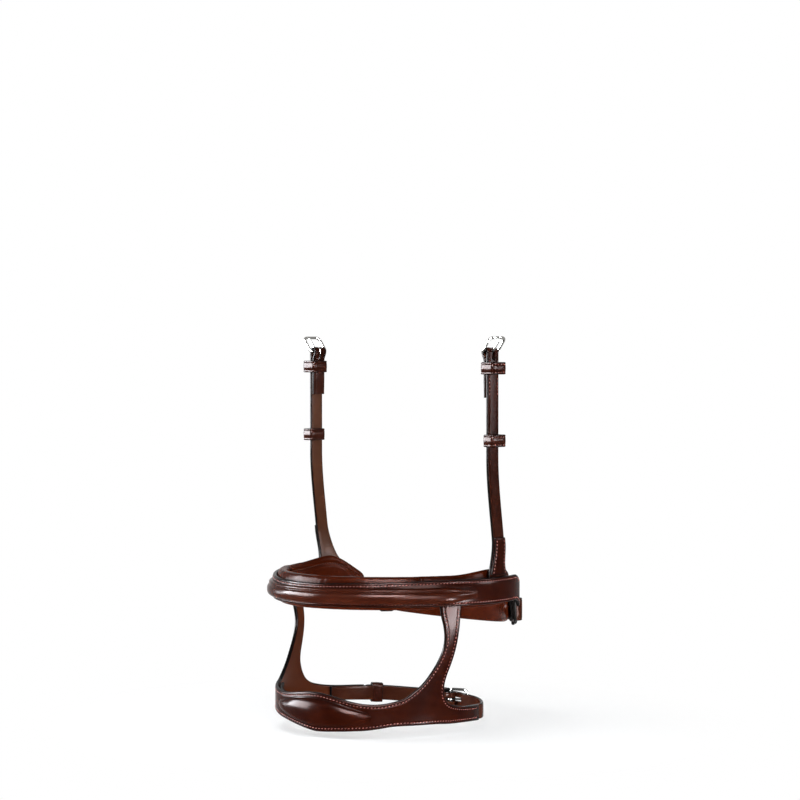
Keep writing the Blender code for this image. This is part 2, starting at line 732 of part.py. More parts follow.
class Closure:
    """A buckle on an oval. Its bar is at an angle, and its frame points back towards the near side."""

    def __init__(self, oval, degrees, strap_out, middle, width, thickness):
        self.oval = oval
        self.degrees = degrees
        self.strap_out = strap_out
        self.bar_out = strap_out - fold_radius(thickness, WIRE)
        self.billet_out = strap_out + thickness + GAP
        self.back_out = self.bar_out + fold_back_out(thickness, WIRE)
        self.middle = middle
        self.width = width
        self.thickness = thickness

    def along(self, degrees):
        """Distance from the bar to an angle, positive towards the near side."""
        return arc_length(self.oval, degrees, self.degrees)

    def point(self, along, out):
        degrees = self.oval.after(self.degrees, -along)
        return self.oval.at(degrees, out, self.middle(degrees))

    def run(self, start, end, start_out, end_out=None):
        """Points from one distance along to another, at one distance out or easing from one to another."""
        end_out = start_out if end_out is None else end_out
        stations = span(start, end, STRAP_STEP)
        return [
            self.point(along, between(start_out, end_out, eased((along - start) / (end - start))))
            for along in stations
        ]

    def place(self, along, out):
        """A place with its x along the strap towards the near side and its y outward."""
        degrees = self.oval.after(self.degrees, -along)
        ahead = self.point(along + CLOSE_STEP, out) - self.point(along - CLOSE_STEP, out)
        return frame_matrix(self.point(along, out), ahead, self.oval.normal(degrees))

    def bar(self):
        return self.place(0.0, self.bar_out)

    def fold(self):
        """The strap's end round the buckle's bar and back."""
        place = self.bar()
        return [place @ Vector((x, y, 0)) for x, y in fold_arc(fold_radius(self.thickness, WIRE))]

    def billet_over(self, rest_out):
        """The other end from under the frame's far end to over the bar."""
        steps = ((0.92, 0.0), (0.75, 0.12), (0.55, 0.5), (0.36, 0.86), (0.18, 1.0))
        return [self.point(FRAME_LENGTH * share, between(rest_out, self.billet_out, lift)) for share, lift in steps]

    def slot_billet(self, billet, rest_out):
        """Cuts the long hole that the tongue goes through."""
        middle = FRAME_LENGTH * HOLE_MIDDLE_SHARE
        place = self.place(middle, between(self.billet_out, rest_out, HOLE_MIDDLE_SHARE))
        size = (FRAME_LENGTH * HOLE_LENGTH_SHARE, HOLE_CUT_DEPTH, TONGUE_SLOT)
        cut(billet, box_cutter(f"{billet.name}_hole", size, place))

    def frame_tilt(self, rest_out):
        """Angle of the frame when its far end lies on the billet."""
        rise = rest_out - self.bar_out + self.thickness / 2 + GAP + WIRE / 2
        return math.degrees(math.asin(rise / FRAME_LENGTH))

    def hardware(self, prefix, rest_out, runner_past):
        """Buckle frame, tongue, sewn keeper and sliding runner."""
        tilt = self.frame_tilt(rest_out)
        buckle_frame(f"{prefix}_buckle_frame", self.bar(), self.width, tilt)
        buckle_tongue(f"{prefix}_buckle_tongue", self.bar(), tilt)
        outer = self.billet_out + self.thickness / 2
        doubled = self.back_out - self.thickness / 2
        single = self.strap_out - self.thickness / 2
        sizes = ((f"{prefix}_keeper", CLOSURE_KEEPER_DROP, doubled, CLOSURE_KEEPER_BAND),)
        sizes += ((f"{prefix}_runner", runner_past, single, KEEPER_BAND),)
        for name, past, inner, band in sizes:
            place = self.place(-past, inner)
            keeper(name, place, 0.0, outer - inner, self.width, band, RUN_GAP)


def tip_run(closure, past, width):
    """Close stations over the rounded tip of a billet."""
    return [closure.point(width / 2 * (1 - share) - past, closure.billet_out) for share in TIP_STATION_SHARES]


def arc_length(oval, start, end, steps=90):
    """Distance along an oval between two angles."""
    step = (end - start) / steps
    return sum(oval.speed(start + step * (i + 0.5)) * step for i in range(steps))


# Jaw strap of the upper band


def ring_end():
    """Angle of each ring's second bar, which the jaw strap's ends turn round."""
    return UPPER.after(RING_ANGLE, RING_LENGTH)


def jaw_closure():
    """The jaw buckle. Its strap lies in line with the outer face of the upper band's leather."""
    return Closure(UPPER, JAW_BUCKLE_ANGLE, JAW_OUT, band_middle, JAW_WIDTH, JAW_THICK)


def pad_layer_out():
    """Out of the billet's inner layer, which is sewn to the pad and clears the keepers."""
    closure = jaw_closure()
    keeper_inner = closure.back_out - JAW_THICK / 2 - RUN_GAP - KEEPER_WALL
    return min(closure.bar_out - fold_radius(JAW_THICK, WIRE), keeper_inner + JAW_THICK / 2)


def roller_turn():
    """Radius of the billet's middle as it turns round the roller."""
    return ROLLER_RADIUS + GAP + JAW_THICK / 2


def ring_bar_out(side):
    """Out of a ring's second bar: the near one lets the billet come off in line with its inner layer."""
    if side == 1:
        return pad_layer_out() + roller_turn()
    return JAW_OUT - fold_radius(JAW_THICK, RING_WIRE)


def chape_bar_out():
    return -GAP - CHAPE_THICK / 2 - fold_radius(CHAPE_THICK, RING_WIRE)


def ring_half_width():
    """From a ring's middle to the middle of its side wire."""
    return JAW_WIDTH / 2 + RING_SIDE_ROOM + RING_WIRE / 2


def ring(side, name):
    """A wire ring, from its chape's bar to its strap's bar."""
    z = band_middle(side * ring_end())
    first = UPPER.at(RING_ANGLE, chape_bar_out(), z)
    second = UPPER.at(ring_end(), ring_bar_out(side), z)
    outward = UPPER.normal(RING_ANGLE)
    for vector in (first, second, outward):
        vector.x *= side
    length = (second - first).length
    place = frame_matrix(first, second - first, outward)
    loop = rounded_loop(length, ring_half_width(), RING_CORNER)
    points = [(x, 0, across) for x, across in loop]
    wire(f"{name}_ring", points, RING_WIRE, "steel", place, cyclic=True)
    if side == 1:
        roller(place @ Matrix.Translation((length, 0, 0)))


def ring_chape(side, name):
    """The leather folded round the ring's first bar and sewn between the band and its lining."""
    z = band_middle(side * ring_end())
    start = UPPER.after(RING_ANGLE, -CHAPE_LENGTH)
    radius = fold_radius(CHAPE_THICK, RING_WIRE)
    bar_out = chape_bar_out()
    origin = UPPER.at(RING_ANGLE, bar_out, z)
    place = frame_matrix(origin, UPPER.tangent(RING_ANGLE), UPPER.normal(RING_ANGLE))

    def layer(along, out):
        degrees = UPPER.after(RING_ANGLE, along)
        share = eased((degrees - start) / (RING_ANGLE - start))
        return UPPER.at(degrees, out, between(band_middle(side * degrees), z, share))

    points = [layer(along, bar_out + radius) for along in span(-CHAPE_LENGTH, -radius, STRAP_STEP)]
    points += [place @ Vector((x, y, 0)) for x, y in fold_arc(radius)]
    back = fold_back(CHAPE_THICK, RING_WIRE, CHAPE_LENGTH)
    points += [layer(along, bar_out + out) for along, out in back]
    points = [Vector((side * point.x, point.y, point.z)) for point in points]
    strap_round(f"{name}_ring_chape", points, JAW_WIDTH - 2 * GAP, CHAPE_THICK, "strap_leather")


def roller(place):
    """A sleeve that turns on the near ring's second bar, made as a turned profile."""
    half = JAW_WIDTH / 2 + RING_SIDE_ROOM / 2
    bore = RING_WIRE / 2 + GAP
    shape = bmesh.new()
    profile = [(ROLLER_RADIUS, half), (ROLLER_RADIUS, -half), (bore, -half), (bore, half)]
    corners = [shape.verts.new((radius, 0, z)) for radius, z in profile]
    for i in range(len(corners)):
        shape.edges.new((corners[i], corners[(i + 1) % len(corners)]))
    mesh = bpy.data.meshes.new("near_ring_roller")
    shape.to_mesh(mesh)
    shape.free()
    made = add_object("near_ring_roller", mesh, "steel", place)
    turned = made.modifiers.new("turned", "SCREW")
    turned.steps = 16
    turned.render_steps = 16
    turned.use_merge_vertices = True
    turned.merge_threshold = 0.00001
    turned.use_normal_calculate = True
    turned.use_normal_flip = True


def jaw_strap():
    """From the off ring to the jaw buckle, folded and sewn at both ends."""
    closure = jaw_closure()
    ring_along = closure.along(360 - ring_end())
    ring_out = ring_bar_out(-1)
    ring_radius = fold_radius(JAW_THICK, RING_WIRE)
    settled = ring_out + fold_back_out(JAW_THICK, RING_WIRE)
    place = closure.place(ring_along, ring_out)
    settle = fold_settle(JAW_THICK, RING_WIRE)
    points = closure.run(ring_along + OFF_RING_RETURN, ring_along + settle, settled)
    points += [place @ Vector((-x, y, 0)) for x, y in reversed(fold_arc(ring_radius))]
    points += closure.run(ring_along + ring_radius, -fold_radius(JAW_THICK, WIRE), JAW_OUT)
    points += closure.fold()
    points += closure.run(-fold_settle(JAW_THICK, WIRE), -JAW_RETURN, closure.back_out)
    strap = strap_round("jaw_strap", points, JAW_WIDTH, JAW_THICK, "strap_leather")
    slot_fold(strap, closure.bar(), JAW_THICK, WIRE)


def jaw_billet():
    """Sewn to the pad, through the near ring, and back through the buckle."""
    closure = jaw_closure()
    ring_along = closure.along(ring_end())
    inner = pad_layer_out()
    rest = inner + JAW_THICK + GAP
    start = fold_radius(JAW_THICK, WIRE) + JAW_THICK / 2 + 2 * GAP
    settle = ring_along - JAW_RING_RUN
    place = closure.place(ring_along, ring_bar_out(1))
    points = closure.run(start, settle, inner)
    points += [place @ Vector((x, y, 0)) for x, y in arc((0, 0), roller_turn(), -90, 90 + ROLLER_LAY_TURN, 9)]
    points += closure.run(settle, FRAME_LENGTH * RUN_START_SHARE, rest)
    points += closure.billet_over(rest)
    points += closure.run(0.0, JAW_WIDTH / 2 - JAW_BILLET_PAST, closure.billet_out)
    points += tip_run(closure, JAW_BILLET_PAST, JAW_WIDTH)
    billet = strap_round("jaw_billet", points, JAW_WIDTH, JAW_THICK, "strap_leather", JAW_WIDTH / 2)
    closure.slot_billet(billet, rest)
    return rest


def jaw_pad():
    """A lens of padded leather under the jaw. Its off end goes inside the off ring."""
    middle = (PAD_NEAR_TIP + PAD_OFF_TIP) / 2
    half = (PAD_OFF_TIP - PAD_NEAR_TIP) / 2
    near_face = pad_layer_out() - JAW_THICK / 2 - GAP
    ring_face = chape_bar_out() - fold_radius(CHAPE_THICK, RING_WIRE) - CHAPE_THICK / 2 - GAP
    corners = [(0, -0.86), (0, 0.86), (-0.45, 1), (-0.85, 0.82), (-1, 0.45), (-1, -0.45), (-0.85, -0.82)]
    corners.append((-0.45, -1))
    sections = []
    for degrees in span(PAD_NEAR_TIP, PAD_OFF_TIP, PAD_STATION):
        away = (degrees - middle) / half
        full = math.sqrt(max(1 - away * away, 0))
        height = between(PAD_TIP_HEIGHT, PAD_HEIGHT, full) / 2
        thick = PAD_THICK * between(0.4, 1, full)
        step = eased(max(PAD_NEAR_STEP - degrees, degrees - PAD_OFF_STEP) / PAD_STEP_RUN)
        back = between(near_face, ring_face, step)
        z = PAD_RAISE + (band_middle(degrees) if degrees > 180 else -JAW_DROP)
        sections.append([UPPER.at(degrees, back + thick * out, z + height * up) for out, up in corners])
    return loft("jaw_pad", sections, "lining_leather")


def jaw_assembly():
    for side, name in SIDES:
        ring_chape(side, name)
        ring(side, name)
    jaw_strap()
    rest = jaw_billet()
    jaw_pad()
    jaw_closure().hardware("jaw", rest, JAW_RUNNER_PAST)


# Lower band


def evened_read(table, degrees):
    """Reads a table at an angle, evened over the angles beside it."""
    return sum(read_shares(table, degrees + EVEN_REACH * step / 2) for step in (-2, -1, 0, 1, 2)) / 5


def hang(degrees):
    """How far above level the lower band and the chin strap lie at an angle."""
    return evened_read(HANG, (degrees + 180) % 360 - 180)


def chin_middle(degrees):
    return CHIN_Z + hang(degrees)


def turned_angle(degrees, z):
    """The angle where a place on the lower band's pattern comes to lie."""
    return degrees + evened_read(LOWER_TURN, degrees) * eased((-TURN_TOP - z) / TURN_REACH)


def form_point(degrees, out, z):
    degrees = turned_angle(degrees, z)
    return form(z).at(degrees, out, z) + Vector((0, 0, hang(degrees)))


def nose_top(degrees):
    return CHIN_Z + NOSE_HEIGHT * read_shares(NOSE_TOP_SHARES, degrees)


def nose_bottom(degrees):
    return CHIN_Z - NOSE_HEIGHT * read_shares(NOSE_BOTTOM_SHARES, degrees)


def lower_pattern():
    """Outline of the near half, from the front's top round the arm and tail to the front's bottom."""
    arm_top = -BAND_HEIGHT / 2 + ARM_TUCK
    outline = [(degrees, CHIN_Z + NOSE_HEIGHT * share) for degrees, share in NOSE_TOP_SHARES]
    outline += [(degrees, CHIN_Z + LOWER_DROP * share) for degrees, share in ARM_FRONT_SHARES]
    outline += [(ARM_TOP_FRONT, arm_top), (ARM_TOP_BACK, arm_top)]
    outline += [(degrees, CHIN_Z + LOWER_DROP * share) for degrees, share in ARM_BACK_SHARES]
    outline += [(105.0, CHIN_Z + CHIN_WIDTH / 2 + GAP), (TAIL_END, CHIN_Z + CHIN_WIDTH / 2 + GAP)]
    outline += [(TAIL_END, CHIN_Z - CHIN_WIDTH / 2 - GAP)]
    outline += [(degrees, CHIN_Z - NOSE_HEIGHT * share) for degrees, share in NOSE_BOTTOM_SHARES]
    return outline


def lower_band_leather():
    """One piece of leather: nose piece, arms and tails. Its near half is mirrored."""
    shape = bmesh.new()
    flat_scale = math.degrees(1) / LOWER_HALF_DEPTH
    corners = [shape.verts.new((degrees / flat_scale, z, 0)) for degrees, z in lower_pattern()]
    shape.faces.new(corners)
    for degrees in span(0, TAIL_END, STATION)[1:-1]:
        slice_sheet(shape, (degrees / flat_scale, 0, 0), (1, 0, 0))
    arm_top = -BAND_HEIGHT / 2 + ARM_TUCK
    for z in span(CHIN_Z + NOSE_HEIGHT, arm_top, LOWER_DROP / 9)[:-1]:
        slice_sheet(shape, (0, z, 0), (0, 1, 0))
    bmesh.ops.triangulate(shape, faces=shape.faces)
    add_other_half(shape)
    for vert in shape.verts:
        vert.co = form_point(vert.co.x * flat_scale, 0, vert.co.y)
    mesh = bpy.data.meshes.new("lower_band_leather")
    shape.normal_update()
    outward = sum(face.normal.dot(face.calc_center_median() - form_centre()) for face in shape.faces)
    if outward < 0:
        bmesh.ops.reverse_faces(shape, faces=shape.faces)
    shape.to_mesh(mesh)
    shape.free()
    made = add_object("lower_band_leather", mesh, "dark_leather")
    solidify(made, LOWER_LEATHER, -1)
    return made


def add_other_half(shape):
    """Joins a flat half pattern to its mirror image across x = 0."""
    made = bmesh.ops.duplicate(shape, geom=shape.verts[:] + shape.edges[:] + shape.faces[:])["geom"]
    for vert in (thing for thing in made if isinstance(thing, bmesh.types.BMVert)):
        vert.co.x *= -1
    bmesh.ops.reverse_faces(shape, faces=[thing for thing in made if isinstance(thing, bmesh.types.BMFace)])
    bmesh.ops.remove_doubles(shape, verts=shape.verts, dist=0.00001)


def form_centre():
    return Vector((0, LOWER.centre_y, CHIN_Z))


def slice_sheet(shape, place, normal):
    parts = shape.verts[:] + shape.edges[:] + shape.faces[:]
    bmesh.ops.bisect_plane(shape, geom=parts, plane_co=place, plane_no=normal)


def lower_nose_pad():
    """The domed pad on the nose piece."""
    sections = []
    base = GAP
    for degrees in span(-NOSE_PAD_END, NOSE_PAD_END, PAD_STATION):
        away = abs(degrees) / NOSE_PAD_END
        full = math.sqrt(max(1 - away**3, 0.0))
        margin = NOSE_PAD_MARGIN
        top, bottom = nose_top(abs(degrees)) - margin, nose_bottom(abs(degrees)) + margin
        middle = (top + bottom) / 2
        half = (top - bottom) / 2 * between(0.12, 1, full)
        rise = NOSE_PAD_RISE * between(0.12, 1, full * full)
        dome = [(-1, 0), (-0.94, 0.34), (-0.7, 0.74), (-0.3, 0.97), (0.1, 1), (0.5, 0.86), (0.85, 0.5), (1, 0)]
        sections.append([form_point(degrees, base + rise * out, middle + half * up) for up, out in dome])
    return loft("lower_nose_pad", sections, "dark_leather")


def lower_band_lining():
    sections = []
    for degrees in span(-LOWER_LINING_END, LOWER_LINING_END, STATION):
        top = nose_top(abs(degrees)) - LOWER_LINING_INSET
        bottom = nose_bottom(abs(degrees)) + LOWER_LINING_INSET
        front = LOWER_LEATHER + GAP
        back = front + LOWER_LINING_THICK
        edge = EDGE_BREAK
        corners = [(-front, bottom), (-front, top), (-back + edge, top), (-back, top - edge), (-back, bottom + edge)]
        corners.append((-back + edge, bottom))
        sections.append([form_point(degrees, out, z) for out, z in corners])
    return loft("lower_band_lining", sections, "lining_leather")


def chin_closure():
    """The chin buckle. The chin strap comes out from under the lower band's tails and lies flush with them."""
    return Closure(LOWER, CHIN_BUCKLE_ANGLE, -CHIN_THICK / 2, chin_middle, CHIN_WIDTH, CHIN_THICK)


def chin_tuck(closure, side):
    """Points of a strap's sewn end inside a tail, as far as it comes out level: side is 1 on the near side."""
    tucked = -LOWER_LEATHER - GAP - CHIN_THICK / 2
    angles = [degrees if side == 1 else 360 - degrees for degrees in (CHIN_TUCK_ANGLE, TAIL_END)]
    start, tail = (closure.along(degrees) for degrees in angles)
    level = tail - side * CHIN_RISE_LENGTH
    points = closure.run(start, tail, tucked)
    points += closure.run(tail, level, tucked, closure.strap_out)[1:]
    return points, level


def chin_straps():
    closure = chin_closure()
    level = closure.strap_out
    points, free = chin_tuck(closure, -1)
    points += closure.run(free, -fold_radius(CHIN_THICK, WIRE), level)[1:]
    points += closure.fold()
    points += closure.run(-fold_settle(CHIN_THICK, WIRE), -CHIN_RETURN, closure.back_out)
    strap = strap_round("chin_strap", points, CHIN_WIDTH, CHIN_THICK, "strap_leather")
    slot_fold(strap, closure.bar(), CHIN_THICK, WIRE)
    points, free = chin_tuck(closure, 1)
    points += closure.run(free, FRAME_LENGTH * RUN_START_SHARE, level)[1:]
    points += closure.billet_over(level)
    points += closure.run(0.0, CHIN_WIDTH / 2 - CHIN_BILLET_PAST, closure.billet_out)
    points += tip_run(closure, CHIN_BILLET_PAST, CHIN_WIDTH)
    billet = strap_round("chin_billet", points, CHIN_WIDTH, CHIN_THICK, "strap_leather", CHIN_WIDTH / 2)
    closure.slot_billet(billet, level)
    closure.hardware("chin", level, CHIN_RUNNER_PAST)


def main():
    for thing in list(bpy.data.objects):
        bpy.data.objects.remove(thing)
    upper_band_leather()
    upper_band_facing()
    upper_band_lining()
    for side, name in SIDES:
        hanger(side, name)
    jaw_assembly()
    lower_band_leather()
    lower_nose_pad()
    lower_band_lining()
    chin_straps()


main()
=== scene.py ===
"""The double noseband as it looks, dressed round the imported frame. Lengths are in metres and angles in degrees."""

import math

import bmesh
import bpy
from mathutils import Matrix, Vector, noise
from mathutils.geometry import delaunay_2d_cdt
from mathutils.kdtree import KDTree


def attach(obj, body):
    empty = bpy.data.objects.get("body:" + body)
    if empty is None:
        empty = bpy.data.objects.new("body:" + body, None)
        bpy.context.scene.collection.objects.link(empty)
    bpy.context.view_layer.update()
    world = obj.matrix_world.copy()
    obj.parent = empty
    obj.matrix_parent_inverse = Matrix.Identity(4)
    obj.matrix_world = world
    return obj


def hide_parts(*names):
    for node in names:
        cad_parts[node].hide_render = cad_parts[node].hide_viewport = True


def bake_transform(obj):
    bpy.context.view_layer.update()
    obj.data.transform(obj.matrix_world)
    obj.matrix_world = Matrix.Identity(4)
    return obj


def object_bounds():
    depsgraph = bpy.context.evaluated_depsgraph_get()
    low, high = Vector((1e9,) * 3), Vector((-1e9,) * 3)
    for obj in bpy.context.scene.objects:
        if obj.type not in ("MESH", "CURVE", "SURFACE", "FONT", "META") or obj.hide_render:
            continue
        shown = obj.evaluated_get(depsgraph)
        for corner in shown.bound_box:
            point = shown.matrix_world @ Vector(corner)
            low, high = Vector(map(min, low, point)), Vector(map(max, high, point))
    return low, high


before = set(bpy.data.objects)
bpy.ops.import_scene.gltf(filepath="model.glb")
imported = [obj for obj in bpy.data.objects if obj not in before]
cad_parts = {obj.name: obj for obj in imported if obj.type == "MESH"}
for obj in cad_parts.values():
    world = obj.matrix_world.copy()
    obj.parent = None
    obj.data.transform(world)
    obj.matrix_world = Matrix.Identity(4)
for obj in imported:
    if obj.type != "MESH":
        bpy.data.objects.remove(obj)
cad_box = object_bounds()

# Sizes of the CAD solids, which the pieces here follow

# Ovals that the two bands follow
UPPER_HALF_WIDTH = 0.0925
UPPER_HALF_DEPTH = 0.0914
UPPER_NARROWING_SHARE = 0.15
LOWER_HALF_WIDTH = 0.074
LOWER_HALF_DEPTH = 0.085
LOWER_FORWARD = 0.0115
LOWER_DROP = 0.096
JAW_DROP = 0.020
NEAR_DROP, OFF_DROP = (118.0, 139.8), (101.0, 139.0)
STRAP_STEP = 0.0020

# Clearances
GAP = 0.0003
RUN_GAP = 0.0005
OVERRUN = 0.004

# Upper band
BAND_LEATHER = 0.0030
BAND_HEIGHT = 0.0195
FRONT_TOP_CUT = 0.0026
BAND_END = 126.0
LINING_HEIGHT = 0.0245
LINING_THICK = 0.0086
LINING_END = 124.0
LINING_RISE = 0.0030
LINING_RISE_REACH = 25.0
POCKET_START = 63.0
FACING_END = 88.0
FACING_TAPER = 16.0
FACING_HEIGHT = 0.0120
FACING_LOWER = 0.0017
FACING_RISE = 0.0042
STATION = 6.0

# Hangers
HANGER_WIDTH = 0.0120
HANGER_THICK = 0.0024
HANGER_ANGLE = 102.5
HANGER_SPREAD = 0.0042
HANGER_SPREAD_TOP = 0.038
HANGER_FORWARD = 0.0080
HANGER_BEND_TOP = 0.100
HANGER_BAR_HEIGHT = 0.178
HANGER_RETURN = 0.034
WING_TOP = 0.040
WING_DEPTH = 0.007
WING_WIDTH = 0.023
WING_FLARE_POWER = 5
WING_REAR_SHARE = 0.8
HANGER_FOOT_GAP = 0.0006
WING_PATCH_THICK = 0.0012
WING_PATCH_MARGIN = 0.0006
FIXED_KEEPER_DROP = 0.0120
RUNNER_DROP = 0.0660
BILLET_SPACE = 0.0046

# Keepers and runners
KEEPER_BAND = 0.0092
KEEPER_WALL = 0.0014
KEEPER_CORNER_SHARE = 2.4
CLOSURE_KEEPER_BAND = 0.0076

# Buckles
WIRE = 0.0022
FRAME_LENGTH = 0.0135
FRAME_SIDE_ROOM = 0.0012
FRAME_CORNER = 0.0034
TONGUE_WIRE = 0.0016
TONGUE_OVERHANG = 0.0012
TONGUE_SLOT = 0.0032
TONGUE_SLOT_RUN = 0.0022
HANGER_FRAME_TILT = 37.0

# Rings of the upper band's jaw strap
RING_WIRE = 0.0022
RING_SIDE_ROOM = 0.0005
RING_CORNER = 0.0018
RING_LENGTH = 0.0110
RING_ANGLE = 133.0
CHAPE_THICK = 0.0015
CHAPE_LENGTH = 0.024
ROLLER_RADIUS = 0.0026
ROLLER_LAY_TURN = 25.0

# Jaw strap and pad
JAW_OUT = 0.0011
JAW_WIDTH = 0.0175
JAW_THICK = 0.0022
JAW_BUCKLE_ANGLE = 192.0
JAW_RETURN = 0.016
JAW_BILLET_PAST = 0.036
JAW_RUNNER_PAST = 0.023
JAW_RING_RUN = 0.013
PAD_HEIGHT = 0.031
PAD_RAISE = 0.0015
PAD_TIP_HEIGHT = 0.004
PAD_THICK = 0.0065
PAD_NEAR_TIP, PAD_OFF_TIP = 128.0, 234.0
PAD_NEAR_STEP, PAD_OFF_STEP, PAD_STEP_RUN = 148.0, 209.0, 7.0
OFF_RING_RETURN = 0.012

# Lower band
LOWER_LEATHER = 0.0030
NOSE_HEIGHT = 0.0285
ARM_TUCK = 0.0055
TAIL_END = 121.0
LOWER_LINING_THICK = 0.0030
LOWER_LINING_INSET = 0.0012
LOWER_LINING_END = 57.0
NOSE_PAD_RISE = 0.0044
NOSE_PAD_MARGIN = 0.0032
NOSE_PAD_END = 34.0

# Chin strap under the lower band
CHIN_WIDTH = 0.0115
CHIN_THICK = 0.0024
CHIN_BUCKLE_ANGLE = 182.0
CHIN_TUCK_ANGLE = 99.0
CHIN_RISE_LENGTH = 0.015
CHIN_RETURN = 0.021
CHIN_BILLET_PAST = 0.078
CHIN_RUNNER_PAST = 0.066
CLOSURE_KEEPER_DROP = 0.0105
FOLD_SETTLE_SHARE = 2.2
FOLD_CLOSE_TURN = 20.0
HOLE_MIDDLE_SHARE = 0.31
HOLE_LENGTH_SHARE = 0.80
RUN_START_SHARE = 1.15
FORM_EASE_SHARE = 0.35
FRONT_CUT_REACH = 80.0
WING_FLARE_SHARE = 0.7
HOLE_CUT_DEPTH = 0.0144
SIDES = [(1, "near"), (-1, "off")]

# Pattern of the lower band's near half: angle from the front and height above the chin
# strap's middle, as a share of the nose piece's height below the arm and of the drop on it
NOSE_TOP_SHARES = [(0, 0.818), (3, 0.814), (8, 0.790), (12, 0.757), (16, 0.722), (20, 0.680), (25, 0.640)]
NOSE_TOP_SHARES += [(30, 0.614), (36, 0.600), (43, 0.604), (49, 0.624), (54.5, 0.652), (60.5, 0.708)]
ARM_FRONT_SHARES = [(66.5, 0.263), (70.6, 0.322), (73.6, 0.399), (75.6, 0.477), (76.6, 0.563), (76.1, 0.647)]
ARM_FRONT_SHARES += [(74.1, 0.747), (71.9, 0.832)]
ARM_BACK_SHARES = [(81.9, 0.808), (82.9, 0.702), (83.7, 0.598), (83.9, 0.500), (83.5, 0.416), (83.0, 0.354)]
ARM_BACK_SHARES += [(82.9, 0.299), (83.3, 0.257), (84.4, 0.205), (86.6, 0.152), (90.0, 0.113), (96.0, 0.083)]
ARM_TOP_FRONT, ARM_TOP_BACK = 70.0, 81.0
NOSE_BOTTOM_SHARES = [(104, 0.202), (91.5, 0.158), (81, 0.095), (70, 0.052), (60, 0.022), (52, 0.015)]
NOSE_BOTTOM_SHARES += [(40, 0.045), (33, 0.068), (23, 0.089), (12, 0.133), (8, 0.155), (3, 0.180), (0, 0.190)]

# How the lower band hangs: its height above level at angles round it, and how many degrees it is
# turned towards the near side at angles of its pattern
HANG = [(-180, -0.0004), (-170, -0.0001), (-153, 0.0005), (-142, 0.0014), (-132, 0.0025), (-123, 0.0031)]
HANG += [(-113, 0.0038), (-102, 0.0044), (-90, 0.0046), (-70, 0.0041), (-50, 0.0035), (-30, 0.0029)]
HANG += [(-20, 0.0023), (-12, 0.0016), (-6, 0.0008), (0, 0), (12, -0.0010), (25, -0.0024), (36, -0.0030)]
HANG += [(48, -0.0027), (60, -0.0018), (75, -0.0005), (90, 0.0006), (104, 0.0014), (115, 0.0003)]
HANG += [(127, -0.0010), (142, -0.0009), (157, -0.0006), (170, -0.0006), (180, -0.0004)]
LOWER_TURN = [(-112, 0), (-103, 2.5), (-95, 4), (-84, 4.8), (-72, 5.6), (-60, 7.2), (-48, 9.6), (-36, 11.8)]
LOWER_TURN += [(-24, 12.5), (24, 12.5), (34, 11), (44, 7.2), (54, 2.8), (66, 0), (112, 0)]
EVEN_REACH = 6.0
CLOSE_STEP = 0.0005
TURN_TOP, TURN_REACH = 0.030, 0.040


class Oval:
    """An egg-shaped oval seen from above, that a strap follows. It is narrower towards the front."""

    def __init__(self, half_width, half_depth, narrowing, centre_y):
        self.half_width = half_width
        self.half_depth = half_depth
        self.narrowing = narrowing
        self.centre_y = centre_y

    def rate(self, degrees):
        """How fast a point moves along the oval, for each radian."""
        turn = math.radians(degrees)
        across = self.half_width * (math.cos(turn) - self.narrowing * math.cos(2 * turn))
        return Vector((across, self.half_depth * math.sin(turn), 0))

    def tangent(self, degrees):
        return self.rate(degrees).normalized()

    def normal(self, degrees):
        tangent = self.tangent(degrees)
        return Vector((tangent.y, -tangent.x, 0))

    def at(self, degrees, out, z):
        turn = math.radians(degrees)
        x = self.half_width * math.sin(turn) * (1 - self.narrowing * math.cos(turn))
        y = self.centre_y - self.half_depth * math.cos(turn)
        return Vector((x, y, z)) + self.normal(degrees) * out

    def speed(self, degrees):
        """Distance along the oval for each degree."""
        return self.rate(degrees).length * math.radians(1)

    def after(self, degrees, distance, steps=24):
        """The angle that lies a distance further along the oval."""
        for _ in range(steps):
            middle = degrees + distance / steps / self.speed(degrees) / 2
            degrees += distance / steps / self.speed(middle)
        return degrees


def eased(share):
    share = min(max(share, 0.0), 1.0)
    return share * share * (3 - 2 * share)


def between(low, high, share):
    return low + (high - low) * share


LINING_BACK = GAP + LINING_THICK
CENTRED_UPPER = Oval(UPPER_HALF_WIDTH, UPPER_HALF_DEPTH, UPPER_NARROWING_SHARE, 0)
UPPER_Y = -CENTRED_UPPER.at(STATION / 2, -LINING_BACK, 0).y
UPPER = Oval(UPPER_HALF_WIDTH, UPPER_HALF_DEPTH, UPPER_NARROWING_SHARE, UPPER_Y)
LOWER = Oval(LOWER_HALF_WIDTH, LOWER_HALF_DEPTH, 0, UPPER_Y - LOWER_FORWARD)
CHIN_Z = -LOWER_DROP


def form(z):
    """The oval of the outer face of the arms and the lower band at a height."""
    top = -BAND_HEIGHT / 2
    bottom = CHIN_Z + CHIN_WIDTH / 2
    share = min(max((top - z) / (top - bottom), 0.0), 1.0)
    share = between(share, eased(share), FORM_EASE_SHARE)
    return Oval(
        between(UPPER.half_width - GAP, LOWER.half_width, share),
        between(UPPER.half_depth - GAP, LOWER.half_depth, share),
        between(UPPER.narrowing, LOWER.narrowing, share),
        between(UPPER.centre_y, LOWER.centre_y, share),
    )


def band_middle(degrees):
    """Height of the upper band's middle line, which drops towards the jaw, later on the near side."""
    near = 0 <= degrees <= 180
    away = abs(degrees) if abs(degrees) <= 180 else 360 - abs(degrees)
    start, end = NEAR_DROP if near else OFF_DROP
    return -JAW_DROP * eased((away - start) / (end - start))


def arc(centre, radius, start, end, steps):
    """Points of an arc in a plane, between two angles in degrees."""
    turns = [math.radians(between(start, end, i / steps)) for i in range(steps + 1)]
    return [(centre[0] + radius * math.cos(t), centre[1] + radius * math.sin(t)) for t in turns]


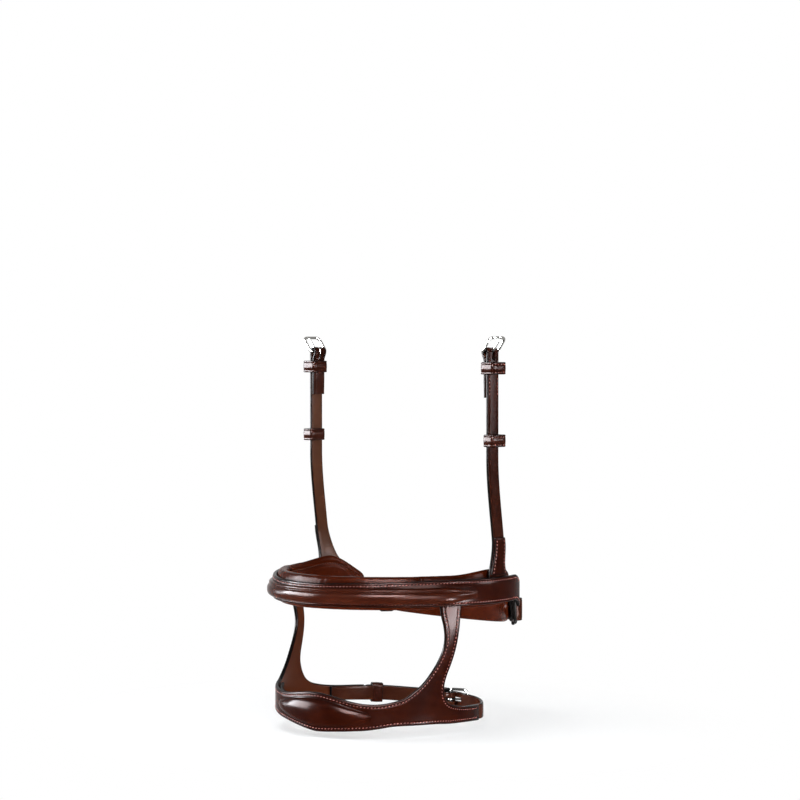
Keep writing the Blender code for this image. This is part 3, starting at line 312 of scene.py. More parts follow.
def frame_matrix(origin, along, out):
    """A place with its x along a strap, its y out from it and its z across it."""
    along = along.normalized()
    across = along.cross(out).normalized()
    out = across.cross(along)
    rows = [(along[i], out[i], across[i], origin[i]) for i in range(3)]
    return Matrix((*rows, (0, 0, 0, 1)))


def span(start, end, step):
    """Even stations from start to end, no further apart than a step."""
    count = max(1, math.ceil(abs(end - start) / step - 1e-6))
    return [between(start, end, i / count) for i in range(count + 1)]


def read_shares(table, degrees):
    """Reads a table of (angle, share) at an angle, along straight stretches."""
    table = sorted(table)
    if degrees <= table[0][0]:
        return table[0][1]
    for (low, first), (high, second) in zip(table, table[1:]):
        if degrees <= high:
            return between(first, second, (degrees - low) / (high - low))
    return table[-1][1]


def band_edges(degrees):
    """Bottom and top of the upper band's leather. Its front is cut lower for the roll of the lining."""
    front = 1 - eased(abs(degrees) / FRONT_CUT_REACH)
    middle = band_middle(degrees)
    return middle - BAND_HEIGHT / 2, middle + BAND_HEIGHT / 2 - FRONT_TOP_CUT * front


def pocket_depth():
    """How far in the lining lies where the hangers, arms and ring chapes are sewn in."""
    return 2 * CHAPE_THICK + 3 * GAP


def hanger_point(side, across, z):
    """The middle of a hanger's leather: round the oval at its foot, and straight up above its bend."""
    out = -GAP - HANGER_THICK / 2
    foot_angle = HANGER_ANGLE + across / UPPER.speed(HANGER_ANGLE)
    foot = UPPER.at(foot_angle, out, z)
    root = UPPER.at(HANGER_ANGLE, out, z)
    top = Vector((root.x + HANGER_SPREAD, root.y + across, z))
    low = BAND_HEIGHT / 2
    point = foot.lerp(top, eased((z - low) / (HANGER_SPREAD_TOP - low)))
    forward = HANGER_FORWARD * eased((z - low) / (HANGER_BEND_TOP - low))
    return Vector((side * point.x, point.y - forward, point.z))


def wing_columns(z, margin=0.0):
    """The wing's front and rear edges: it flares towards the band, mostly at its rear edge."""
    share = min((WING_TOP - z) / (WING_TOP - BAND_HEIGHT / 2), 1.0)
    flare = (WING_WIDTH - HANGER_WIDTH) * between(share, share**WING_FLARE_POWER, WING_FLARE_SHARE)
    front = -HANGER_WIDTH / 2 - flare * (1 - WING_REAR_SHARE) + margin
    rear = HANGER_WIDTH / 2 + flare * WING_REAR_SHARE - margin
    return front, rear


def fold_radius(thickness, wire_diameter):
    """Radius of a strap's middle where it is folded round a wire."""
    return wire_diameter / 2 + GAP + thickness / 2


def fold_back_out(thickness, wire_diameter):
    """How far out the middle of the returning layer lies, next to the strap that it is sewn to."""
    return fold_radius(thickness, wire_diameter) - thickness - GAP


def fold_arc(radius, steps=9):
    """A strap's middle round a wire at (0, 0), from outside it to inside it: (along, out) pairs."""
    return arc((0, 0), radius, 90, -90 - FOLD_CLOSE_TURN, steps)


def placed(place, pairs, way=1):
    """Points in a place's plane from (along, out) pairs. A way of -1 turns along round."""
    return [place @ Vector((way * along, out, 0)) for along, out in pairs]


def fold_back(thickness, wire_diameter, back):
    """The layer that returns from a fold, as (along, out) pairs."""
    settled = fold_back_out(thickness, wire_diameter)
    return [(-station, settled) for station in span(fold_settle(thickness, wire_diameter), back, STRAP_STEP)]


def fold_settle(thickness, wire_diameter):
    """Distance from the wire at which a returning layer lies against its strap."""
    return FOLD_SETTLE_SHARE * fold_radius(thickness, wire_diameter)


def flex_point(side):
    """Where a hanger starts to bend, just above its wing."""
    return hanger_point(side, 0, WING_TOP + HANGER_FOOT_GAP)


def hanger_matrix(side, z):
    """A place on a hanger's buckle line: x up, y outward."""
    middle = hanger_point(side, 0, max(z, HANGER_BEND_TOP))
    inset = fold_radius(HANGER_THICK, WIRE)
    origin = Vector((middle.x - side * inset, middle.y, z))
    return frame_matrix(origin, Vector((0, 0, 1)), Vector((side, 0, 0)))


def frame_half_width(strap_width, diameter):
    """From a buckle frame's middle to the middle of its side wire."""
    return strap_width / 2 + FRAME_SIDE_ROOM + diameter / 2


def rounded_loop(length, half, corner):
    """A loop in the plane of a strap: its bar lies on x = 0 and its far end at x = length."""
    loop = []
    loop += arc((length - corner, half - corner), corner, 90, 0, 4)
    loop += arc((length - corner, -half + corner), corner, 0, -90, 4)
    near = corner * 0.5
    loop += arc((near, -half + near), near, -90, -180, 2)
    loop += arc((near, half - near), near, 180, 90, 2)
    return loop


def tilted(place, degrees):
    """The place turned so that its x rises outward."""
    return place @ Matrix.Rotation(math.radians(degrees), 4, "Z")


def tongue_rise():
    """How far above the frame's plane the tongue's end lies."""
    return WIRE / 2 + GAP + TONGUE_WIRE / 2


class Closure:
    """A buckle on an oval. Its bar is at an angle, and its frame points back towards the near side."""

    def __init__(self, oval, degrees, strap_out, middle, width, thickness):
        self.oval = oval
        self.degrees = degrees
        self.strap_out = strap_out
        self.bar_out = strap_out - fold_radius(thickness, WIRE)
        self.billet_out = strap_out + thickness + GAP
        self.back_out = self.bar_out + fold_back_out(thickness, WIRE)
        self.middle = middle
        self.width = width
        self.thickness = thickness

    def along(self, degrees):
        """Distance from the bar to an angle, positive towards the near side."""
        return arc_length(self.oval, degrees, self.degrees)

    def point(self, along, out):
        degrees = self.oval.after(self.degrees, -along)
        return self.oval.at(degrees, out, self.middle(degrees))

    def run(self, start, end, start_out, end_out=None):
        """Points from one distance along to another, at one distance out or easing from one to another."""
        end_out = start_out if end_out is None else end_out
        return [
            self.point(along, between(start_out, end_out, eased((along - start) / (end - start))))
            for along in span(start, end, STRAP_STEP)
        ]

    def place(self, along, out):
        """A place with its x along the strap towards the near side and its y outward."""
        degrees = self.oval.after(self.degrees, -along)
        ahead = self.point(along + CLOSE_STEP, out) - self.point(along - CLOSE_STEP, out)
        return frame_matrix(self.point(along, out), ahead, self.oval.normal(degrees))

    def bar(self):
        return self.place(0.0, self.bar_out)

    def fold(self):
        """The strap's end round the buckle's bar and back."""
        return placed(self.bar(), fold_arc(fold_radius(self.thickness, WIRE)))

    def billet_over(self, rest_out):
        """The other end from under the frame's far end to over the bar."""
        steps = ((0.92, 0.0), (0.75, 0.12), (0.55, 0.5), (0.36, 0.86), (0.18, 1.0))
        return [self.point(FRAME_LENGTH * share, between(rest_out, self.billet_out, lift)) for share, lift in steps]

    def frame_tilt(self, rest_out):
        """Angle of the frame when its far end lies on the billet."""
        rise = rest_out - self.bar_out + self.thickness / 2 + GAP + WIRE / 2
        return math.degrees(math.asin(rise / FRAME_LENGTH))


def arc_length(oval, start, end, steps=90):
    """Distance along an oval between two angles."""
    step = (end - start) / steps
    return sum(oval.speed(start + step * (i + 0.5)) * step for i in range(steps))


def ring_end():
    """Angle of each ring's second bar, which the jaw strap's ends turn round."""
    return UPPER.after(RING_ANGLE, RING_LENGTH)


def jaw_closure():
    """The jaw buckle. Its strap lies in line with the outer face of the upper band's leather."""
    return Closure(UPPER, JAW_BUCKLE_ANGLE, JAW_OUT, band_middle, JAW_WIDTH, JAW_THICK)


def pad_layer_out():
    """Out of the billet's inner layer, which is sewn to the pad and clears the keepers."""
    closure = jaw_closure()
    keeper_inner = closure.back_out - JAW_THICK / 2 - RUN_GAP - KEEPER_WALL
    return min(closure.bar_out - fold_radius(JAW_THICK, WIRE), keeper_inner + JAW_THICK / 2)


def roller_turn():
    """Radius of the billet's middle as it turns round the roller."""
    return ROLLER_RADIUS + GAP + JAW_THICK / 2


def ring_bar_out(side):
    """Out of a ring's second bar: the near one lets the billet come off in line with its inner layer."""
    if side == 1:
        return pad_layer_out() + roller_turn()
    return JAW_OUT - fold_radius(JAW_THICK, RING_WIRE)


def chape_bar_out():
    return -GAP - CHAPE_THICK / 2 - fold_radius(CHAPE_THICK, RING_WIRE)


def evened_read(table, degrees):
    """Reads a table at an angle, evened over the angles beside it."""
    return sum(read_shares(table, degrees + EVEN_REACH * step / 2) for step in (-2, -1, 0, 1, 2)) / 5


def hang(degrees):
    """How far above level the lower band and the chin strap lie at an angle."""
    return evened_read(HANG, (degrees + 180) % 360 - 180)


def chin_middle(degrees):
    return CHIN_Z + hang(degrees)


def turned_angle(degrees, z):
    """The angle where a place on the lower band's pattern comes to lie."""
    return degrees + evened_read(LOWER_TURN, degrees) * eased((-TURN_TOP - z) / TURN_REACH)


def form_point(degrees, out, z):
    degrees = turned_angle(degrees, z)
    return form(z).at(degrees, out, z) + Vector((0, 0, hang(degrees)))


def nose_top(degrees):
    return CHIN_Z + NOSE_HEIGHT * read_shares(NOSE_TOP_SHARES, degrees)


def nose_bottom(degrees):
    return CHIN_Z - NOSE_HEIGHT * read_shares(NOSE_BOTTOM_SHARES, degrees)


def chin_closure():
    """The chin buckle. The chin strap comes out from under the lower band's tails and lies flush with them."""
    return Closure(LOWER, CHIN_BUCKLE_ANGLE, -CHIN_THICK / 2, chin_middle, CHIN_WIDTH, CHIN_THICK)


def chin_tuck(closure, side):
    """Points of a strap's sewn end inside a tail, as far as it comes out level: side is 1 on the near side."""
    tucked = -LOWER_LEATHER - GAP - CHIN_THICK / 2
    angles = [degrees if side == 1 else 360 - degrees for degrees in (CHIN_TUCK_ANGLE, TAIL_END)]
    start, tail = (closure.along(degrees) for degrees in angles)
    level = tail - side * CHIN_RISE_LENGTH
    points = closure.run(start, tail, tucked)
    points += closure.run(tail, level, tucked, closure.strap_out)[1:]
    return points, level


# Fine sizes, which the CAD solids do not have
FINE_STEP = 0.0015
FINE_TURN = 1.2
EDGE_ROUND_SHARE = 0.40
ROUND_START_SHARE = 0.35
THIN_EDGE_SHARE = 0.45
ROUND_STEPS = 4
CREASE_IN = 0.0017
CREASE_HALF = 0.00045
CREASE_DEPTH = 0.00022
# Painted shade that darkens the crease lines
CREASE_SHADE = 0.35
CREASE_FULL_HALF = 0.003
STRAP_CROWN = 0.00012
STITCH_PITCH = 0.0026
STITCH_LENGTH = 0.0014
STITCH_RADIUS = 0.00031
STITCH_SLANT = math.radians(16.0)
STITCH_IN = 0.0023
STITCH_SINK = 0.00005
STITCH_SIDES = 6
UP = Vector((0, 0, 1))


def rounded(share, least=0.0):
    """How full a rounded end is, from its very end at a share of 0 to where the round is over at 1."""
    return math.sqrt(max(1 - max(0.0, 1 - share) ** 2, least))


def end_paint(share):
    """How much black paint a cut end has, from its very end at a share of 0 to where it is over at 1."""
    return 1 - eased((share - 0.2) / 0.8)


def edge_dye(turn):
    """How much paint a rounded edge has, by the angle from the middle of the edge towards the face."""
    return 1 - eased((abs(turn) - 30) / 50)


# Meshes


def add_object(name, data):
    thing = bpy.data.objects.new(name, data)
    bpy.context.scene.collection.objects.link(thing)
    return thing


def new_piece(name, verts, faces, look, paints_and_shades=None, sharp=50.0):
    """A mesh object that faces out. Paints and shades hold each point's black edge paint and painted shade."""
    mesh = bpy.data.meshes.new(name)
    mesh.from_pydata(verts, [], faces)
    shape = bmesh.new()
    shape.from_mesh(mesh)
    bmesh.ops.recalc_face_normals(shape, faces=shape.faces)
    shape.to_mesh(mesh)
    shape.free()
    if paints_and_shades is not None:
        mesh.attributes.new("paint_and_shade", "FLOAT", "POINT").data.foreach_set("value", paints_and_shades)
    mesh.shade_smooth()
    mesh.set_sharp_from_angle(angle=math.radians(sharp))
    mesh.materials.append(look)
    return add_object(name, mesh)


def ring_faces(first, second, count):
    """Faces between two rings of points, given where each ring starts."""
    return [(first + j, first + (j + 1) % count, second + (j + 1) % count, second + j) for j in range(count)]


def caps(first, last, count):
    """The faces that close a tube's first and last rings."""
    return [tuple(range(first, first + count)), tuple(reversed(range(last, last + count)))]


def skin(name, rings, paints_and_shades, look, closed=False, sharp=50.0):
    """A solid through rings that have the same number of points. Paints and shades has one list for each ring."""
    count, total = len(rings[0]), len(rings)
    faces = []
    for i in range(total if closed else total - 1):
        faces += ring_faces(i * count, (i + 1) % total * count, count)
    if not closed:
        faces += caps(0, (total - 1) * count, count)
    verts = [point for ring in rings for point in ring]
    return new_piece(name, verts, faces, look, [paint_and_shade for row in paints_and_shades for paint_and_shade in row], sharp)


def dress(thing, body, slot=None, *nodes):
    """Puts a piece on its body, and hides the solids that it stands for. The slot is not used."""
    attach(thing, body)
    if nodes:
        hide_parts(*nodes)
    return thing


def cut(thing, size, place):
    """Takes a box out of a piece."""
    mesh = bpy.data.meshes.new("cutter")
    shape = bmesh.new()
    bmesh.ops.create_cube(shape, size=1, matrix=place @ Matrix.Diagonal((*size, 1)))
    shape.to_mesh(mesh)
    shape.free()
    cutter = add_object("cutter", mesh)
    modifier = thing.modifiers.new("cut", "BOOLEAN")
    modifier.operation = "DIFFERENCE"
    modifier.solver = "EXACT"
    modifier.object = cutter
    seen = bpy.context.evaluated_depsgraph_get()
    made = bpy.data.meshes.new_from_object(thing.evaluated_get(seen), depsgraph=seen)
    thing.modifiers.clear()
    thing.data = made
    bpy.data.objects.remove(cutter)


def strap_section(half, thick, crease=CREASE_IN, crown=STRAP_CROWN):
    """A strap's section as (across, out, paint and shade): the grain face with two crease lines darkened with
    painted shade, and rounded edges.
    """
    radius = min(thick * EDGE_ROUND_SHARE, half * 0.45)
    side, top = half - radius, thick / 2
    groove = half - min(crease, half * 0.4)

    def corner(across, out, start, face_at_start):
        made = []
        for turn in span(0, 90, 90 / ROUND_STEPS):
            angle = math.radians(start + turn)
            paint_and_shade = edge_dye(90 - turn if face_at_start else turn)
            made.append((across + radius * math.cos(angle), out + radius * math.sin(angle), paint_and_shade))
        return made

    lines = [(groove + CREASE_HALF, 0, 0.0), (groove, CREASE_DEPTH * min(1.0, half / CREASE_FULL_HALF), CREASE_SHADE)]
    lines += [(groove - CREASE_HALF, 0, 0.0), (half * 0.45, 0, 0.0), (0.0, 0, 0.0)]
    lines += [(-across, depth, paint_and_shade) for across, depth, paint_and_shade in reversed(lines[:-1])]
    grain = [(across, top + crown * (1 - (across / half) ** 2) - depth, paint_and_shade) for across, depth, paint_and_shade in lines]
    back = [(half * share, -top, 0.0) for share in (-0.5, 0, 0.5)]
    points = corner(side, top - radius, 0, False) + grain + corner(-side, top - radius, 90, True)
    return points + corner(-side, radius - top, 180, False) + back + corner(side, radius - top, 270, True)


def walk(points, counted, shift=0.0):
    """Even places along a path as (stretch, share of it). Counted gives their number from the path's length."""
    lengths = [0.0]
    for first, second in zip(points, points[1:]):
        lengths.append(lengths[-1] + (second - first).length)
    count, j = counted(lengths[-1]), 0
    for i in range(count if shift else count + 1):
        goal = lengths[-1] * (i + shift) / count
        while j < len(points) - 2 and lengths[j + 1] < goal:
            j += 1
        stretch = lengths[j + 1] - lengths[j]
        yield j, (goal - lengths[j]) / stretch if stretch else 0.0


def resampled(points, step):
    """Even points along a path."""
    places = walk(points, lambda length: max(2, round(length / step)))
    return [points[j].lerp(points[j + 1], share) for j, share in places]


def smoothed(points, rounds=2):
    """Evens out small kinks of a path and keeps its ends."""
    for _ in range(rounds):
        inner = [(a + b * 2 + c) / 4 for a, b, c in zip(points, points[1:], points[2:])]
        points = [points[0], *inner, points[-1]]
    return points


def frames_along(points, across, face):
    """(point, out) along a path, for a strap that lies across one direction."""
    around = zip([points[0], *points[:-1]], points, [*points[1:], points[-1]])
    return [(point, across.cross(after - before).normalized() * face) for before, point, after in around]


def ribbon(name, points, width, thick, look, face=1, tip=0.0):
    """A level strap along a path. Tip rounds its far end over that length."""
    points = smoothed(resampled(points, FINE_STEP))
    radius = thick * EDGE_ROUND_SHARE
    start, end = points[0], points[-1]
    first, last = (points[1] - start).normalized() * radius, (points[-2] - end).normalized() * radius
    points = [start, start + first * ROUND_START_SHARE, start + first, *points[1:-1]]
    points += [end + last, end + last * ROUND_START_SHARE, end]
    length = sum((b - a).length for a, b in zip(points, points[1:]))
    rings, paints_and_shades, done = [], [], 0.0
    for i, (point, out) in enumerate(frames_along(points, UP, face)):
        done += (point - points[i - 1]).length if i else 0.0
        left = length - done
        away = min(done, left) / radius
        share = max(rounded(left / tip), 0.14) if tip and left < tip else 1.0
        share *= between(1 - radius / width, 1, rounded(away))
        section = strap_section(width / 2 * share, thick * between(THIN_EDGE_SHARE, 1, rounded(away)))
        rings.append([point + UP * a + out * o for a, o, _ in section])
        paints_and_shades.append([max(paint_and_shade, end_paint(away)) for _, _, paint_and_shade in section])
    return skin(name, rings, paints_and_shades, look)


def round_wire(name, points, diameter, look, closed=False, sides=14):
    """A round wire along a path, with rounded ends."""
    radius, total = diameter / 2, len(points)
    turns = [math.tau * j / sides for j in range(sides)]
    rings, normal = [], None
    for i, point in enumerate(points):
        if closed:
            ahead = points[(i + 1) % total] - points[i - 1]
        else:
            ahead = points[min(i + 1, total - 1)] - points[max(i - 1, 0)]
        ahead = ahead.normalized()
        if normal is None:
            normal = ahead.orthogonal().normalized()
        normal = (normal - ahead * normal.dot(ahead)).normalized()
        side = ahead.cross(normal)
        rings.append([point + (normal * math.cos(turn) + side * math.sin(turn)) * radius for turn in turns])
    if not closed:
        for end, index in ((points[0] - points[1], 0), (points[-1] - points[-2], -1)):
            way = end.normalized()
            ring, centre = rings[index], points[index]
            extra = []
            for share in (0.5, 0.8, 0.97):
                shrink = math.sqrt(1 - share**2)
                extra.append([centre + (p - centre) * shrink + way * radius * share * 0.8 for p in ring])
            rings = list(reversed(extra)) + rings if index == 0 else rings + extra
    return skin(name, rings, [[0.0] * sides for _ in rings], look, closed, sharp=80.0)


# Stitching

STITCH_STATIONS = ((-1.0, 0.35, -0.5), (-0.62, 0.95, 0.25), (0.0, 1.0, 0.42), (0.62, 0.95, 0.25), (1.0, 0.35, -0.5))


def spaced(track):
    """Stitches at an even pitch along a track of (point, out) pairs: (middle, along, out) for each."""
    made = []
    points = [point for point, _ in track]
    for j, share in walk(points, lambda length: max(1, int(length / STITCH_PITCH)), 0.5):
        out = track[j][1].lerp(track[j + 1][1], share).normalized()
        made.append((points[j].lerp(points[j + 1], share), (points[j + 1] - points[j]).normalized(), out))
    return made


def stitching(name, tracks, body, look=None):
    """Threads along tracks, as one piece. Each stitch is a short thread that dips in at its ends."""
    verts, faces = [], []
    turns = [math.tau * j / STITCH_SIDES for j in range(STITCH_SIDES)]
    for middle, along, out in (stitch for track in tracks for stitch in spaced(track)):
        side = out.cross(along).normalized()
        way = along * math.cos(STITCH_SLANT) + side * math.sin(STITCH_SLANT)
        wide = out.cross(way).normalized()
        starts = []
        for run, size, lift in STITCH_STATIONS:
            starts.append(len(verts))
            centre = middle + way * (run * STITCH_LENGTH / 2) + out * (lift * STITCH_RADIUS)
            for turn in turns:
                verts.append(centre + (wide * math.cos(turn) + out * math.sin(turn)) * STITCH_RADIUS * size)
        for first, second in zip(starts, starts[1:]):
            faces += ring_faces(first, second, STITCH_SIDES)
        faces += caps(starts[0], starts[-1], STITCH_SIDES)
    return dress(new_piece(name, verts, faces, look or THREAD, sharp=180.0), body)


def paired(stations, spots):
    """Two stitching tracks: spots gives a (point, out) pair on each of them at a station."""
    return list(zip(*map(spots, stations)))


def edge_tracks(points, width, thick, face):
    """Stitching tracks along both edges of a level strap's outer face."""
    lift = thick / 2 - STITCH_SINK
    frames = frames_along(smoothed(resampled(points, FINE_STEP)), UP, face)
    edge = width / 2 - CREASE_IN
    return [[(p + UP * sideways + o * lift, o) for p, o in frames] for sideways in (-edge, edge)]


# Materials


class Nodes:
    """Adds nodes to a tree."""

    def __init__(self, tree):
        self.nodes, self.links = tree.nodes, tree.links

    def put(self, node, name, value):
        """Sets an input, or links it where the value is another node's output."""
        if isinstance(value, bpy.types.NodeSocket):
            self.links.new(value, node.inputs[name])
        else:
            node.inputs[name].default_value = value

    def add(self, kind, inputs, out=0, **settings):
        """Adds a node and gives one of its outputs."""
        node = self.nodes.new("ShaderNode" + kind)
        for name, value in settings.items():
            setattr(node, name, value)
        for name, value in inputs.items():
            self.put(node, name, value)
        return node.outputs[out]

    def background_rays(self):
        """1 for rays from the camera and from gloss or glass, which see the white background."""
        path = self.nodes.new("ShaderNodeLightPath").outputs
        either = self.add("Math", {0: path["Is Camera Ray"], 1: path["Is Glossy Ray"]}, operation="MAXIMUM")
        return self.add("Math", {0: either, 1: path["Is Transmission Ray"]}, operation="MAXIMUM")


class Shader(Nodes):
    """Builds one material's nodes."""

    def __init__(self, name, roughness, metallic=0.0, specular=0.5):
        self.material = bpy.data.materials.new(name)
        self.material.use_nodes = True
        super().__init__(self.material.node_tree)
        self.shader = self.nodes["Principled BSDF"]
        self.set("Roughness", roughness)
        self.set("Metallic", metallic)
        self.set("Specular IOR Level", specular)
        self.place = self.add("TexCoord", {}, "Object")

    def set(self, name, value):
        self.put(self.shader, name, value)

    def noise(self, scale, detail=3.0, rough=0.55, stretch=None):
        place = self.add("Mapping", {"Vector": self.place, "Scale": stretch}, "Vector") if stretch else self.place
        inputs = {"Vector": place, "Scale": scale, "Detail": detail, "Roughness": rough}
        return self.add("TexNoise", inputs, "Fac")

    def ranged(self, value, low, high, to_low=0.0, to_high=1.0):
        """Eases a value from one range into another."""
        inputs = {"Value": value, "From Min": low, "From Max": high, "To Min": to_low, "To Max": to_high}
        return self.add("MapRange", inputs, "Result", interpolation_type="SMOOTHSTEP")

    def mix(self, share, first, second):
        """Mixes two colours, each a triple or a socket."""
        first, second = ((*colour, 1) if isinstance(colour, tuple) else colour for colour in (first, second))
        return self.add("Mix", {"Factor": share, 6: first, 7: second}, 2, data_type="RGBA")

    def add_up(self, first, second, weight):
        """The first value and a share of the second."""
        return self.add("Math", {0: second, 1: weight, 2: first}, operation="MULTIPLY_ADD")

    def bump(self, height, distance):
        self.set("Normal", self.add("Bump", {"Distance": distance, "Strength": 1.0, "Height": height}, "Normal"))


BLACK_EDGE = (0.0060, 0.0046, 0.0042)
BROWN_EDGE = (0.014, 0.004, 0.002)
WARM = (1.0, 0.80, 0.76, 1)


def leather(name, dark, light, roughness, specular, grain, painted=BLACK_EDGE, flesh=None):
    """Leather with mottled dye, pores, faint scuffs, paint on its edges and painted shade in its creases. Flesh is
    its back's colour.
    """
    made = Shader(name, roughness, specular=specular)
    made.set("Specular Tint", WARM)
    colour = made.mix(made.ranged(made.noise(38, 4, 0.6), 0.36, 0.66), dark, light)
    fine = made.ranged(made.noise(900, 3, 0.6), 0.40, 0.72, 0.0, 0.14)
    colour = made.mix(fine, colour, tuple(part * 0.55 for part in dark))
    scuffs = made.ranged(made.noise(240, 5, 0.7, (1, 1, 0.2)), 0.62, 0.80, 0.0, 0.12)
    colour = made.mix(scuffs, colour, tuple(part * 1.7 for part in light))
    # This attribute holds black edge paint, painted shade in creases, grooves and channels, and -1 on a flesh side.
    paint_and_shade = made.add("Attribute", {}, "Fac", attribute_name="paint_and_shade")
    if flesh:
        colour = made.mix(made.ranged(paint_and_shade, -0.9, -0.4, 1.0, 0.0), colour, flesh)
    edge = made.ranged(made.add_up(paint_and_shade, made.noise(500, 2), 0.18), 0.30, 0.75)
    made.set("Base Color", made.mix(edge, colour, painted))
    made.set("Roughness", made.ranged(made.noise(160, 3, 0.6), 0.3, 0.75, roughness * 0.86, roughness * 1.2))
    pores = made.add("TexVoronoi", {"Vector": made.place, "Scale": 1900}, "Distance", feature="F1")
    height = made.add_up(made.ranged(pores, 0.0, 0.45), made.noise(700, 4, 0.65), 1.1)
    made.bump(made.add_up(height, made.noise(110, 2, 0.5), 0.9), grain)
    return made.material


def thread_look(name, colour, shade):
    made = Shader(name, 0.34, specular=0.03)
    twist = made.noise(2600, 2, 0.5)
    made.set("Base Color", made.mix(made.ranged(twist, 0.35, 0.65), shade, colour))
    made.bump(twist, 0.00008)
    return made.material


def steel_look(name, dark, light, smooth, rough):
    made = Shader(name, smooth, 1.0)
    made.set("Base Color", made.mix(made.ranged(made.noise(70, 3, 0.5), 0.3, 0.7), dark, light))
    marks = made.noise(420, 5, 0.7, (1, 1, 6))
    made.set("Roughness", made.ranged(marks, 0.35, 0.8, smooth, rough))
    made.bump(marks, 0.000006)
    return made.material


# Each leather: its dark and light dye, roughness, gloss and the height of its grain
OUTER_FLESH, HANGER_FLESH = (0.085, 0.0215, 0.0085), (0.082, 0.0300, 0.0150)
OUTER = leather(
    "outer leather", (0.018, 0.0022, 0.0005), (0.027, 0.0042, 0.0014), 0.20, 0.013, 3e-6, flesh=OUTER_FLESH
)
FACING = leather("facing leather", (0.034, 0.0056, 0.0020), (0.050, 0.0102, 0.0044), 0.20, 0.015, 1e-6)
LINING = leather("lining leather", (0.042, 0.0056, 0.0010), (0.062, 0.0096, 0.0026), 0.24, 0.006, 5e-6, BROWN_EDGE)
LOWER_LINING = leather("lower lining leather", (0.075, 0.0180, 0.0065), (0.105, 0.0280, 0.0120), 0.22, 0.010, 12e-6)
STRAP = leather("strap leather", (0.040, 0.0100, 0.0046), (0.058, 0.0165, 0.0085), 0.18, 0.010, 8e-6)
LOOPS = leather("loop leather", (0.028, 0.0055, 0.0026), (0.042, 0.0100, 0.0052), 0.16, 0.017, 8e-6)
HANGER = leather(
    "hanger leather", (0.024, 0.0046, 0.0020), (0.038, 0.0090, 0.0046), 0.18, 0.010, 8e-6, flesh=HANGER_FLESH
)
# Painted shade: the ring chapes lie in shade round the rings, so they get a near-black leather.
SHADE_BLACK = leather("painted shade leather", (0.0050, 0.0036, 0.0032), (0.0080, 0.0058, 0.0050), 0.20, 0.010, 10e-6)
# Painted shade: the rings and the roller are near black, standing in for steel that lies in shade and reflects dark.
RING_SHADE_BLACK = leather("painted shade ring", (0.0050, 0.0046, 0.0044), (0.0070, 0.0064, 0.0060), 0.16, 0.012, 1e-6)
THREAD = thread_look("waxed thread", (0.44, 0.155, 0.130), (0.27, 0.078, 0.062))
LINING_THREAD = thread_look("lining thread", (0.17, 0.060, 0.035), (0.10, 0.032, 0.018))
STEEL = steel_look("polished steel", (0.20, 0.195, 0.185), (0.30, 0.295, 0.28), 0.05, 0.10)
# Painted shade and reflection: darker steel for the chin buckle, standing in for the dark surroundings it reflects.
SHADED_STEEL = steel_look("painted shade steel", (0.070, 0.068, 0.065), (0.110, 0.106, 0.100), 0.10, 0.16)


# Camera, floor and light

PHOTO_TURN = math.radians(45)
PHOTO_RIGHT = Vector((math.cos(PHOTO_TURN), math.sin(PHOTO_TURN), 0))
PHOTO_TOWARD = Vector((math.sin(PHOTO_TURN), -math.cos(PHOTO_TURN), 0))
PHOTO_CENTRE = Vector((0, UPPER_Y + 0.0055, 0))
PHOTO_DISTANCE = 2.0
PHOTO_SIDE = 0.0034
PHOTO_HEIGHT = 0.1856
PHOTO_PITCH = 1.28
PHOTO_LENS = 117.0
SENSOR_WIDTH = 36
FLOOR_DROP = 0.0015
FLOOR_HALF = 14.0
FLOOR_SHADE = (0.92, 0.92, 0.92, 1)
MIDDLE = Vector((0, 0.09, 0))
WHITE = (1, 1, 1, 1)
WORLD_GLOW = 0.18
COOL = (0.92, 1.0, 1.06)

# Lamps: place and aim to the right, toward the camera and up in the photograph, from the middle of
# the noseband. These light the surfaces only: name, place, size and glow.
LIGHTS = (
    ("left light", (-1.3, -0.35, 0.55), (0.6, 0.8), 6),
    ("front light", (0.85, 1.15, 0.40), (0.35, 0.5), 9),
    ("side light", (1.40, 0.50, 0.15), (0.4, 0.5), 3),
    ("top light", (-0.35, 0.45, 1.35), (0.8, 0.45), 8),
    ("back light", (-0.1, -1.5, 0.9), (0.7, 0.4), 4),
)
# These show in gloss and metal only: name, place, size, glow and aim.
REFLECTED = (
    ("dome left reflection", (-1.25, 0.02, 0.35), (1.05, 0.66), 280, (-0.074, 0.077, -0.083)),
    ("dome right reflection", (-0.02, 0.86, 0.555), (0.44, 0.60), 330, (-0.037, 0.095, -0.088)),
    ("arm reflection", (0.197, 0.192, -0.072), (0.075, 0.055), 430, (0.041, 0.081, -0.018)),
    ("ridge reflection", (0.50, 1.26, 0.16), (0.60, 0.62), 88, (0.023, 0.095, 0)),
    ("left end reflection", (-1.17, -0.64, 0.0), (0.40, 0.25), 35, (-0.084, 0.063, 0)),
    ("roll near reflection", (1.02, 0.20, 0.22), (0.30, 0.26), 120, (0.05, 0.067, 0.012)),
)


def make_camera():
    camera = add_object("camera", bpy.data.cameras.new("camera"))
    camera.data.sensor_width = SENSOR_WIDTH
    camera.data.lens = PHOTO_LENS
    camera.data.clip_start, camera.data.clip_end = 0.05, 60
    level = Matrix((PHOTO_RIGHT, UP, PHOTO_TOWARD)).transposed().to_4x4()
    camera.matrix_world = level @ Matrix.Rotation(math.radians(-PHOTO_PITCH), 4, "X")
    camera.location = PHOTO_CENTRE + PHOTO_TOWARD * PHOTO_DISTANCE + PHOTO_RIGHT * PHOTO_SIDE + UP * PHOTO_HEIGHT
    bpy.context.scene.camera = camera


